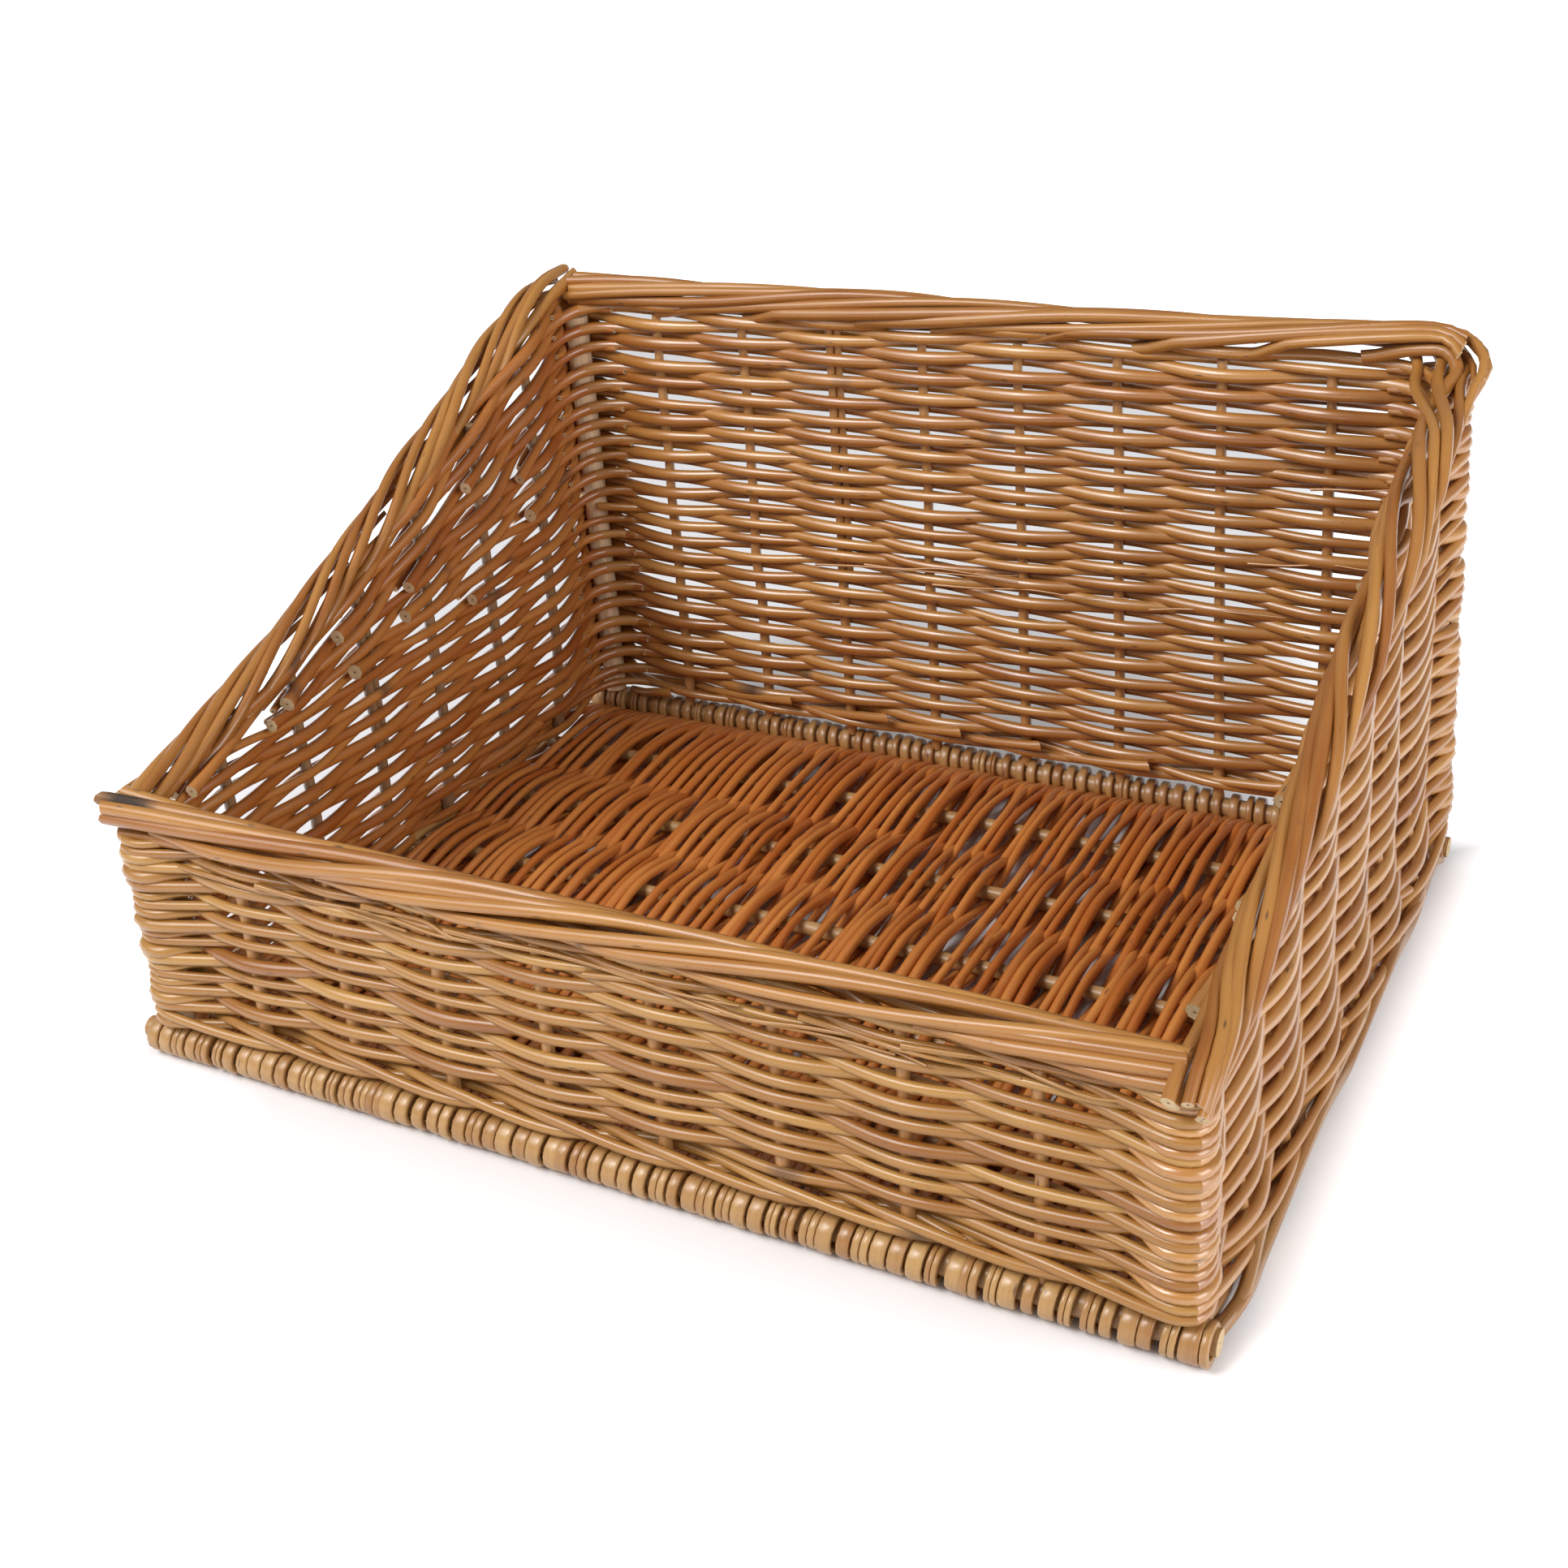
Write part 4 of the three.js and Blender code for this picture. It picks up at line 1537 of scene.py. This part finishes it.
    def hairpin(self, sheaf: Sheaf, turn: int, x: float, pitch: float, end: float) -> None:
        """Lays one weaver: from the middle of the base to an edge stick, round it, and back beside itself.

        Args:
            sheaf: The sheaf of the base.
            turn: Number of its first pass.
            x: Place of its first pass across the basket.
            pitch: Distance to the next pass.
            end: 1 for the back edge stick and minus 1 for the front one.
        """
        at_back = end > 0
        thick = self.weaver * self.rng.uniform(*self.weaver_play)
        band = self.band * self.rng.choice(self.band_widths) * (self.band_at_back if at_back else 1.0)
        pale = self.rng.uniform(*self.weaver_tones)
        left_in = self.wrap_back_left if at_back else self.wrap_left_in
        shift = self.rng.normal(0, self.wrap_play) + left_in * max(0.0, -x / self.reach)
        seed = grain_start(self.rng)
        ends = (x, x if turn >= self.passes - 1 else x + pitch)
        hug = self.edge_stick / 2 + self.band_thick / 2 + self.rng.uniform(*self.band_play)
        turned = np.radians(np.arange(*self.band_angles))
        share = np.linspace(0.0, 1.0, len(turned))
        depth = PLAN.post_y + (0.0 if at_back else self.band_front_out)
        across = (ends[0] + (ends[1] - ends[0]) * share) * (self.wrap_reach / self.reach) + shift
        loop = np.column_stack([across, end * (depth + np.cos(turned) * hug), np.sin(turned) * hug])
        flat = ramp(np.minimum(share, 1.0 - share) * self.band_ease)
        home = np.array([0.0, PLAN.frame_shift, PLAN.stick_height])
        # Painted light: the wraps are lighter than the same rod inside the base; at the back the factor turns
        # this into a darkening.
        tone = pale + self.painted_band_light * (self.painted_band_light_at_back if at_back else 1.0)
        is_split = self.rng.uniform() < self.split_chance
        for strip in (-self.split_at, self.split_at) if is_split else (0.0,):
            wide = (thick + (band - thick) * flat) * (self.split_width if is_split else 1.0)
            line = loop + (home + np.array([strip * band, 0.0, 0.0]))
            sheaf.lay(Rod(line, wide, self.band_thick, ALONG_X, tone + strip * self.split_tone, seed,
                          sides=self.band_sides, pressed=flat * self.band_pressed, skin=2))
        passes = [self.half_pass(turn, ends[0], end, thick) + [loop[0]]]
        if ends[1] > ends[0]:
            passes.append(self.half_pass(turn + 1, ends[1], end, thick) + [loop[-1]])
        skin = 2 if min(turn, self.passes - 2 - turn) < self.outer_passes else 0
        for stops in passes:
            line, place = smooth_line(np.array(stops) + home, self.weaver_step)
            size = thick * (1.0 - self.weaver_thin * ramp(1.0 - place))
            sheaf.lay(Rod(line, size, size, ALONG_X, pale, seed, sides=self.weaver_sides, skin=skin))

    def half_pass(self, turn: int, x: float, end: float, thick: float) -> list[list[float]]:
        """Stops of a pass from under a middle stick, where two rods meet, out to an edge stick.

        Args:
            turn: Number of the pass.
            x: Its place across the basket.
            end: 1 for the back edge stick and minus 1 for the front one.
            thick: Thickness of the rod.

        Returns:
            The places of the stops, measured from the middle height of the sticks.
        """
        middle = len(self.sticks) // 2
        joint = middle if self.level(turn, middle) < 0 else middle + 1
        order = range(joint, len(self.sticks)) if end > 0 else range(joint, -1, -1)
        first = self.crossing(turn, x, joint, thick)
        stops = [[first[0], first[1] - end * self.joint_past, first[2] + self.joint_lift]]
        stops += [self.crossing(turn, x, i, thick) for i in order]
        near = self.held(x, self.bends[turn, -1], end * PLAN.post_y)
        stops.append([near, end * (PLAN.post_y - self.edge_gap), self.edge_lift])
        return stops

    def held(self, x: float, sideways: float, y: float) -> float:
        """Place of a pass across the basket at a depth, held inside the base where it strays sideways."""
        return float(np.clip(x + sideways, -self.reach, self.reach)) + self.foot_at(x, y)

    def foot_at(self, x: float, y: float) -> float:
        """Moves the outermost passes out: those at the right edge, and at the left edge of the back half.

        Args:
            x: Place of the pass across the basket.
            y: The depth.

        Returns:
            How far it moves to the right.
        """
        edge, ease = self.foot_edge
        out = self.foot_out * float(ramp((self.foot_fade[0] - y) / self.foot_fade[1]))
        out += self.foot_front * float(ramp((-y - self.foot_front_fade[0]) / self.foot_front_fade[1]))
        right = out * float(ramp((x - edge) / ease))
        behind = ramp((y - self.left_fade[0]) / self.left_fade[1])
        return right - self.left_out * float(ramp((-x - edge) / ease) * behind)

    def crossing(self, turn: int, x: float, stick: int, thick: float) -> list[float]:
        """Finds where a pass crosses a stick.

        Args:
            turn: Number of the pass.
            x: Its place across the basket.
            stick: Number of the stick.
            thick: Thickness of the rod.

        Returns:
            The place, measured from the middle height of the sticks.
        """
        lift = self.thin_stick / 2 + thick / 2 + self.lift_gap
        level = self.level(turn, stick)
        sideways = self.bends[turn, stick] * (self.loose if level > 0 else 1.0) + self.pairing * level
        y = self.sticks[stick]
        return [self.held(x, sideways, y), y + self.rng.normal(0, self.cross_play), level * lift]


@dataclass
class Border:
    """A rolled border: each rod comes up inside, rolls over the top and ends low on the outside."""

    axis: np.ndarray
    roll: float = 42.0
    bay: float = 52.7
    late_bay: float = 52.7
    late_from: float = 0.0
    lasts: float = 7.0
    lasts_play: Pair = (-0.5, 0.3)
    wander: float = 9.0
    wander_play: float = 7.0
    wander_waves: Pair = (34.0, 62.0)
    play: float = 0.06
    play_wave: float = 40.0
    ring: float = 6.3
    ring_play: float = 0.4
    first_angle: float = 240.0
    fillers: int = 7
    phase: float = 0.0
    bulges: tuple[Pair, ...] = ((0.0, 1.0),)
    butt: float = 6.0
    tip: float = 4.4
    thick_play: Pair = (0.84, 1.14)
    tones: Pair = (0.2, 0.9)
    slants: Pair = (0.5, 0.8)
    start_ease: float = 24.0
    start_ring: float = 0.25
    start_drop: float = 8.0
    end_ease: float = 40.0
    end_dip: float = 0.25
    end_point: Pair = (30.0, 0.45)
    dark_ends: tuple[int, ...] = ()
    dark_from: float = 34.0
    dark_ease: float = 14.0
    dark_fade: Triple = (5.0, 4.0, 0.7)
    overhang: float = 6.0
    overhang_play: Pair = (0.2, 1.0)
    open_start: bool = False
    shortest: float = 30.0
    step: float = 7.0
    least_step: float = 4.0
    line: np.ndarray = field(init=False)
    forward: np.ndarray = field(init=False)
    out: np.ndarray = field(init=False)
    above: np.ndarray = field(init=False)
    run: np.ndarray = field(init=False)

    def __post_init__(self) -> None:
        """Works out the border's own directions along its middle."""
        self.line, _ = smooth_line(self.axis, self.least_step)
        self.forward = unit(np.gradient(self.line, axis=0))
        self.out = unit(np.cross(UP, self.forward))
        self.above = np.cross(self.forward, self.out)
        self.run = run_of(self.line)

    def rods(self, rng: np.random.Generator) -> list[Rod]:
        """Works out the rods of the border.

        Args:
            rng: Source of their small differences.

        Returns:
            The rods in the order of their starts.
        """
        starts = np.arange(self.phase - self.fillers, self.bays(self.run[-1] - self.start_ease))
        made = [self.rod(number, start, rng) for number, start in enumerate(starts)]
        return [rod for rod in made if rod is not None]

    def bays(self, run: np.ndarray | float) -> np.ndarray | float:
        """Count of bays from the start of the border to a distance along it."""
        early, late = np.minimum(run, self.late_from), np.maximum(run - self.late_from, 0.0)
        return early / self.bay + late / self.late_bay

    def reached(self, bays: float) -> float:
        """Distance along the border of a count of bays."""
        turn = self.late_from / self.bay
        return min(bays, turn) * self.bay + max(bays - turn, 0.0) * self.late_bay

    def seen_at(self, rows: np.ndarray, runs: np.ndarray) -> np.ndarray:
        """Places or directions of the border at given distances along it."""
        return np.column_stack([np.interp(runs, self.run, rows[:, i]) for i in range(3)])

    def rod(self, number: int, start: float, rng: np.random.Generator) -> Rod | None:
        """Works out one rod.

        Args:
            number: Its number along the border.
            start: The count of bays at which its stake bends over.
            rng: Source of its small differences.

        Returns:
            The rod, or nothing if too little of it lies on this border.
        """
        total = self.run[-1]
        finish = self.reached(start + self.lasts + rng.uniform(*self.lasts_play))
        begin = self.reached(start)
        first = max(begin, -self.overhang if self.open_start else 0.0)
        last = min(finish, total + rng.uniform(*self.overhang_play) * self.overhang)
        if last - first < self.shortest:
            return None
        runs = np.arange(first, last, self.step)
        runs = np.append(runs[:-1] if last - runs[-1] < self.least_step else runs, last)
        beyond = runs - np.clip(runs, 0.0, total)
        centre = self.seen_at(self.line, runs) + self.seen_at(self.forward, runs) * beyond[:, None]
        out = unit(self.seen_at(self.out, runs))
        above = unit(self.seen_at(self.above, runs))
        along = self.bays(runs) - start
        stray = rng.normal(0, self.wander_play)
        sway = np.sin(runs / rng.uniform(*self.wander_waves) + rng.uniform(0, ANY_PHASE))
        angle = np.radians(self.first_angle - self.roll * along + (stray + self.wander * sway))
        ends_free = finish < total
        still = np.ones_like(runs)
        rise = ramp((runs - begin) / self.start_ease) if first == begin else still
        dip = 1.0 - self.end_dip * ramp((runs - last + self.end_ease) / self.end_ease) if ends_free else still
        opened = self.start_ring + (1.0 - self.start_ring) * rise
        reach = self.ring * opened * dip + rng.normal(0, self.ring_play)
        uneven = 1.0 + self.play * np.sin(runs / self.play_wave + rng.uniform(0, ANY_PHASE))
        reach = reach * np.interp(runs, *zip(*self.bulges)) * uneven
        line = centre + out * (np.cos(angle) * reach)[:, None] + above * (np.sin(angle) * reach)[:, None]
        line = line - above * ((1 - rise) * self.start_drop)[:, None]
        taper = (1 - self.tip / self.butt) * np.clip(along / self.lasts, 0, 1)
        thick = self.butt * rng.uniform(*self.thick_play) * (1 - taper)
        if ends_free:
            length, thinned = self.end_point
            thick = thick * (1 - thinned * ramp((runs - last + length) / length))
        stain = self.dark_end(runs - last) if number in self.dark_ends else np.zeros_like(runs)
        tone, seed = rng.uniform(*self.tones), grain_start(rng)
        slant = tuple(rng.uniform(-lean, lean) for lean in self.slants)
        return Rod(line, thick, thick, UP, tone, seed, stain, slant)

    def dark_end(self, past: np.ndarray) -> np.ndarray:
        """Stain of a dark end and its paler tip, by the distance past the end, which is 0 or less."""
        tip, tip_ease, pale = self.dark_fade
        return ramp((past + self.dark_from) / self.dark_ease) * (1.0 - pale * ramp((past + tip) / tip_ease))


@dataclass
class Rim:
    """The four borders; most rods of the back one turn the corner and run down the right side."""

    lift: float = -1.0
    front_ends: Pair = (237.0, -246.0)
    front_points: int = 12
    front_rises: tuple[Triple, ...] = ((1.0, 0.0, 240.0), (3.5, 170.0, 76.0))
    cores: tuple[Triple, ...] = ((-60.0, 1.6, 3.0), (-120.0, -2.0, -3.5), (-150.0, 3.4, -10.0))
    core_thick: Pair = (6.2, 6.2)
    core_drop: float = 9.0
    core_belly: float = 5.0
    core_ends: Pair = (-6.0, 1.0)
    core_tones: Pair = (0.3, 0.7)
    core_slant: float = 0.6
    core_step: float = 8.0
    side_ends: Pair = (240.0, 246.0)
    left_bulge: tuple[Pair, ...] = (
        (-190.0, 5.5), (-150.0, 5.0), (-90.0, -0.3), (20.0, -0.3), (90.0, 3.6), (130.0, 0.2), (175.0, -1.0))
    left_swells: tuple[Pair, ...] = (
        (0.0, 1.0), (60.0, 1.2), (140.0, 1.28), (250.0, 1.2), (330.0, 1.2), (400.0, 1.0))
    left_slope: Pair = (-160.0, 140.0)
    left_foot: Pair = (-187.0, 123.0)
    left_top: tuple[Pair, ...] = ((150.0, 254.0), (172.0, 261.0), (197.0, 262.5))
    back_path: tuple[Triple, ...] = (
        (-232.0, 0.0, 4.0), (-120.0, 0.0, 5.0), (0.0, 0.0, 6.0), (120.0, 0.0, 6.5), (214.0, 1.0, 10.0),
        (239.5, -1.0, 10.8), (249.0, -12.0, 4.5), (246.5, -28.0, -4.0))
    right_swells: tuple[Pair, ...] = ((470.0, 1.0), (530.0, 1.3), (600.0, 1.4), (690.0, 1.15), (780.0, 1.0))
    right_slope: Pair = (-160.0, 130.0)
    right_foot: tuple[Triple, ...] = ((242.0, -172.0, 124.0), (242.0, -192.0, 122.0), (241.0, -204.0, 116.0))
    turn_depth: float = 30.0
    crossing_from: float = 190.0
    crossing_depth: float = 60.0
    corner_x: float = 234.0
    hung_pulls: Triple = (-6.0, -13.0, -20.0)
    hung_back: float = 12.0
    hung_drop: float = 9.0
    hung_ease: float = 70.0
    hung_early: int = 3
    tuck_ease: float = 30.0
    tuck_drop: float = 2.0
    tuck_thin: float = 0.25
    tuck_slant: float = 0.6
    seed: int = 31
    rng: np.random.Generator = field(init=False)

    def build(self) -> None:
        """Makes one piece for the border of each wall."""
        self.rng = np.random.default_rng(self.seed)
        self.front_border()
        self.left_border()
        self.back_and_right()

    def side_axis(self, y: float) -> float:
        """Distance of a side border's middle from the middle of the basket, before the lean."""
        return float(np.interp(y, (-PLAN.post_y, PLAN.post_y), self.side_ends))

    def left_axis(self, y: float) -> float:
        """The same for the left border, which bulges in its upper half and behind the front border."""
        return self.side_axis(y) + float(np.interp(y, *zip(*self.left_bulge)))

    @staticmethod
    def slope_between(low: float, high: float) -> list[Pair]:
        """Depths and heights of the sides' slope between two depths."""
        return [(y, z) for y, z in PLAN.slope if low < y < high]

    @staticmethod
    def bind(side: Side, rods: list[Rod]) -> None:
        """Makes the border of one wall from its rods."""
        nodes = [f"border_{side.value}_rod_{i}" for i in (1, 2, 3)]
        Sheaf(f"border_of_{side.value}", *rods).bind(BORDER_WILLOW, "border_rods", *nodes)

    def front_border(self) -> None:
        """Makes the front border, worked from the right post to the left, where its cut ends stand out."""
        points = []
        for x in np.linspace(*self.front_ends, self.front_points):
            rises = [high * ramp((-x - start) / ease) for high, start, ease in self.front_rises]
            points.append(PLAN.leaned(x, -PLAN.post_y, PLAN.front_height + self.lift + rises[0] + rises[1]))
        axis = np.array(points)
        border = Border(axis, ring=7.4, butt=6.4, tip=5.4, dark_ends=(12,), overhang=7.0)
        self.bind(Side.FRONT, border.rods(self.rng) + [self.core(axis[-1], *core) for core in self.cores])

    def core(self, middle: np.ndarray, start: float, side: float, rise: float) -> Rod:
        """Works out a rod inside the left end of the front border.

        Args:
            middle: The middle of that end.
            start: Where it comes out of the wall, across the basket.
            side: How far it lies in front of the middle.
            rise: How far its end lies above the middle.

        Returns:
            The rod, up to its cut end.
        """
        end = middle + np.array([self.rng.uniform(*self.core_ends), 0.0, rise])
        shares = np.linspace(0.0, 1.0, 5)
        first = np.array([start, middle[1], middle[2] - self.core_drop])
        points = first + (end - first) * shares[:, None]
        points[:, 1] -= side * np.linspace(0.2, 1.0, len(shares))
        points[1:, 2] += (1.0 - shares[1:]) * self.core_belly
        tone, seed = self.rng.uniform(*self.core_tones), grain_start(self.rng)
        slant = (0.0, self.rng.uniform(-self.core_slant, self.core_slant))
        return Rod.tapered(points, self.core_step, self.core_thick, tone, seed, slant=slant)

    def left_border(self) -> None:
        """Makes the left border, worked from behind the front border up over the end of the back border."""
        places = [self.left_foot, *self.slope_between(*self.left_slope), *self.left_top]
        axis = np.array([PLAN.leaned(-self.left_axis(y), y, z + self.lift) for y, z in places])
        border = Border(axis, bay=29.9, late_bay=29.9, phase=0.77, wander=14.0, play=0.1, overhang=4.0,
                        bulges=self.left_swells)
        self.bind(Side.LEFT, border.rods(self.rng))

    def back_and_right(self) -> None:
        """Makes the back border, and the right border that most of its rods turn into."""
        depth = PLAN.post_y
        places = [(x, depth + y, PLAN.back_height + z) for x, y, z in self.back_path]
        places += [(self.side_axis(y), y, z) for y, z in reversed(self.slope_between(*self.right_slope))]
        places += self.right_foot
        axis = np.array([PLAN.leaned(x, y, z + self.lift) for x, y, z in places])
        border = Border(axis, late_bay=31.0, late_from=500.0, phase=-0.095, wander=14.0, play=0.1,
                        overhang=4.0, open_start=True, bulges=self.right_swells)
        rods = border.rods(self.rng)
        crossing = [rod.seed for rod in rods if rod.line[0, 0] < self.crossing_from
                    and rod.line[-1, 1] < depth - self.crossing_depth]
        hung = dict(zip(crossing[-len(self.hung_pulls):], self.hung_pulls))
        back: list[Rod] = []
        right: list[Rod] = []
        for rod in rods:
            last = len(rod.line) - 1
            turned = np.nonzero(rod.line[:, 1] < depth - self.turn_depth)[0]
            turn = int(turned[0]) if len(turned) else last + 1
            if rod.seed in hung:
                met = int(np.nonzero(rod.line[:, 0] > self.corner_x)[0][0])
                back.append(self.tucked_end(rod.cut(0, met)))
                right.append(self.hung_start(rod.cut(turn - self.hung_early, last), hung[rod.seed]))
            elif turn > last:
                back.append(rod)
            elif turn <= 2:
                right.append(rod)
            else:
                back.append(rod.cut(0, turn))
                if turn < last - 1:
                    right.append(rod.cut(turn, last))
        self.bind(Side.BACK, back)
        self.bind(Side.RIGHT, right)

    def tucked_end(self, rod: Rod) -> Rod:
        """Ends a rod of the back border at the corner, a little thinner and lower.

        Args:
            rod: The rod, cut off at the corner.

        Returns:
            The rod with its new end.
        """
        near = 1.0 - ramp((rod.run[-1] - rod.run) / self.tuck_ease)
        line = rod.line - UP * (near * self.tuck_drop)[:, None]
        thick = rod.wide * (1.0 - self.tuck_thin * near)
        return Rod(line, thick, thick, UP, rod.tone, rod.seed, slant=(0.0, self.tuck_slant))

    def hung_start(self, rod: Rod, pull: float) -> Rod:
        """Starts a rod of the right border under the back border, inside the corner.

        Args:
            rod: The rod, cut off before the corner.
            pull: How far its start moves across the basket.

        Returns:
            The rod with its new start.
        """
        near = 1.0 - ramp((rod.run - rod.run[0]) / self.hung_ease)
        line = rod.line + near[:, None] * np.array([pull, self.hung_back, -self.hung_drop])
        return Rod(line, rod.wide, rod.deep, UP, rod.tone, rod.seed)


@dataclass(frozen=True)
class Lamp:
    """One soft square lamp: its place and the length of its side in metres, and its power in watts."""

    name: str
    place: Triple
    size: float
    power: float
    aim: Triple = (0.0, 0.0, 0.1)

    def hang(self) -> None:
        """Hangs the lamp so that it faces the basket."""
        light = bpy.data.lights.new(self.name, "AREA")
        light.size = self.size
        light.energy = self.power
        lamp = bpy.data.objects.new(self.name, light)
        lamp.location = self.place
        lamp.rotation_euler = (Vector(self.aim) - Vector(self.place)).to_track_quat("-Z", "Y").to_euler()
        bpy.context.scene.collection.objects.link(lamp)


@dataclass
class Studio:
    """White floor, soft light and the camera."""

    azimuth: float = 29.242
    elevation: float = 27.096
    roll: float = -3.411
    eye: Triple = (387.468, -724.642, 509.644)
    focal_pixels: float = 2479.733
    picture: float = 1932.0
    sensor: float = 36.0
    nearest: float = 0.01
    sky: float = 0.24
    floor_size: float = 14.0
    floor_drop: float = 0.0004
    floor_colour: Colour = (0.86, 0.85, 0.87)
    floor_rough: float = 0.9
    shade_edge: float = 0.036
    # Edges of the painted shade on the floor behind the basket.
    shade_left: tuple[float, ...] = (0.384, 0.4425, 0.015, 0.08)
    shade_right: tuple[float, ...] = (-0.172, 0.274, 0.02, 0.14)
    shade_front: tuple[float, ...] = (0.9, 0.415, 0.02, 0.06)
    shade_back: Pair = (1.22, 1.0)
    white_far: Pair = (0.2, 1.2)
    white_lift: Triple = (0.4, 0.62, 0.1)
    lamps: tuple[Lamp, ...] = (Lamp("key_light", (-1.15, -1.4, 1.85), 1.6, 38.0),
                               Lamp("glint_light", (-0.66, -1.5, 1.95), 0.8, 20.0),
                               Lamp("side_light", (2.2, -0.5, 0.9), 1.5, 38.0))

    def build(self) -> None:
        """Sets up the floor, the light and the camera."""
        self.floor()
        self.world()
        for lamp in self.lamps:
            lamp.hang()
        self.camera()
        bpy.context.scene.view_settings.view_transform = "Standard"

    def floor(self) -> None:
        """Lays a pale floor that is white to the camera and keeps the shadow."""
        sheet = bmesh.new()
        bmesh.ops.create_grid(sheet, x_segments=1, y_segments=1, size=self.floor_size,
                              matrix=Matrix.Translation((0.0, 0.0, -self.floor_drop)))
        mesh = bpy.data.meshes.new("studio_floor")
        sheet.to_mesh(mesh)
        sheet.free()
        made = bpy.data.materials.new("studio_floor")
        bench, shader = Bench.for_material(made)
        path = bench.node("ShaderNodeLightPath").outputs
        seen = bench.maths("MAXIMUM", path["Is Camera Ray"], path["Is Glossy Ray"])
        seen = bench.maths("MAXIMUM", seen, path["Is Transmission Ray"])
        bench.set(shader, {"Base Color": (*self.floor_colour, 1.0), "Roughness": self.floor_rough,
                           "Emission Color": WHITE,
                           "Emission Strength": bench.times(seen, self.floor_lift(bench))})
        mesh.materials.append(made)
        floor = bpy.data.objects.new("studio_floor", mesh)
        bpy.context.scene.collection.objects.link(floor)

    def floor_lift(self, bench: Bench) -> Socket:
        """Lifts the floor to white, except in a painted shade behind the basket, and leaves it in shade under
        the base.

        Args:
            bench: The floor's node tree.

        Returns:
            The strength of the lift.
        """
        place = bench.node("ShaderNodeTexCoord").outputs["Object"]
        across, depth, _ = bench.node("ShaderNodeSeparateXYZ", {0: place}).outputs
        beside = bench.maths("SUBTRACT", bench.maths("ABSOLUTE", across), PLAN.post_x * METRES)
        before = bench.maths("SUBTRACT", bench.maths("ABSOLUTE", depth), PLAN.post_y * METRES)
        away = bench.maths("MAXIMUM", beside, before)
        # Painted shade: the floor behind the basket, where it shows through the walls, is kept from the lift
        # to white and stays grey.
        painted_shade = bench.window(depth, *self.shade_back)
        edges = ((self.shade_left, depth, "ADD", across), (self.shade_right, depth, "SUBTRACT", across),
                 (self.shade_front, across, "ADD", depth))
        for (slope, start, low, high), over, sign, place in edges:
            inside = bench.maths(sign, bench.maths("MULTIPLY_ADD", over, slope, start), place)
            painted_shade = bench.times(painted_shade, bench.window(inside, low, high))
        more, least, behind = self.white_lift
        far = bench.maths("MULTIPLY_ADD", bench.window(away, *self.white_far), more, least)
        lift = bench.maths("MULTIPLY_ADD", far, bench.maths("SUBTRACT", 1.0, painted_shade), behind)
        return bench.times(lift, bench.window(away, 0.0, self.shade_edge))

    def world(self) -> None:
        """Lights the room evenly, with a white background."""
        world = bpy.data.worlds.new("studio")
        world.use_nodes = True
        bpy.context.scene.world = world
        bench = Bench(world.node_tree)
        back = world.node_tree.nodes["Background"]
        path = bench.node("ShaderNodeLightPath").outputs
        seen = bench.maths("MAXIMUM", path["Is Camera Ray"], path["Is Transmission Ray"])
        lit = bench.maths("MULTIPLY_ADD", seen, 1.0 - self.sky, self.sky)
        bench.set(back, {"Color": WHITE, "Strength": lit})

    def camera(self) -> None:
        """Stands the camera where the photograph was taken from."""
        a, e, r = (math.radians(angle) for angle in (self.azimuth, self.elevation, self.roll))
        back = Vector((math.sin(a) * math.cos(e), -math.cos(a) * math.cos(e), math.sin(e)))
        right = Vector((math.cos(a), math.sin(a), 0.0))
        up = back.cross(right)
        turned_right = right * math.cos(r) + up * math.sin(r)
        turned_up = up * math.cos(r) - right * math.sin(r)
        lens = bpy.data.cameras.new("photo_camera")
        lens.sensor_width = self.sensor
        lens.lens = self.focal_pixels / self.picture * self.sensor
        lens.clip_start = self.nearest
        camera = bpy.data.objects.new("photo_camera", lens)
        eye = Vector(self.eye) + Vector((0.0, PLAN.frame_shift, 0.0))
        turn = Matrix((turned_right, turned_up, back)).transposed()
        camera.matrix_world = Matrix.Translation(eye * METRES) @ turn.to_4x4()
        bpy.context.scene.collection.objects.link(camera)
        bpy.context.scene.camera = camera


def main() -> None:
    """Builds the basket from the base up, then the studio."""
    logging.basicConfig(level=logging.INFO, format="%(name)s: %(message)s")
    Base().build()
    Uprights().build()
    WallWork().build()
    Rim().build()
    GREEN.clear()
    Studio().build()
    LOG.info("the basket is built over %d nodes", len(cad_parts))


if __name__ == "__main__":
    main()
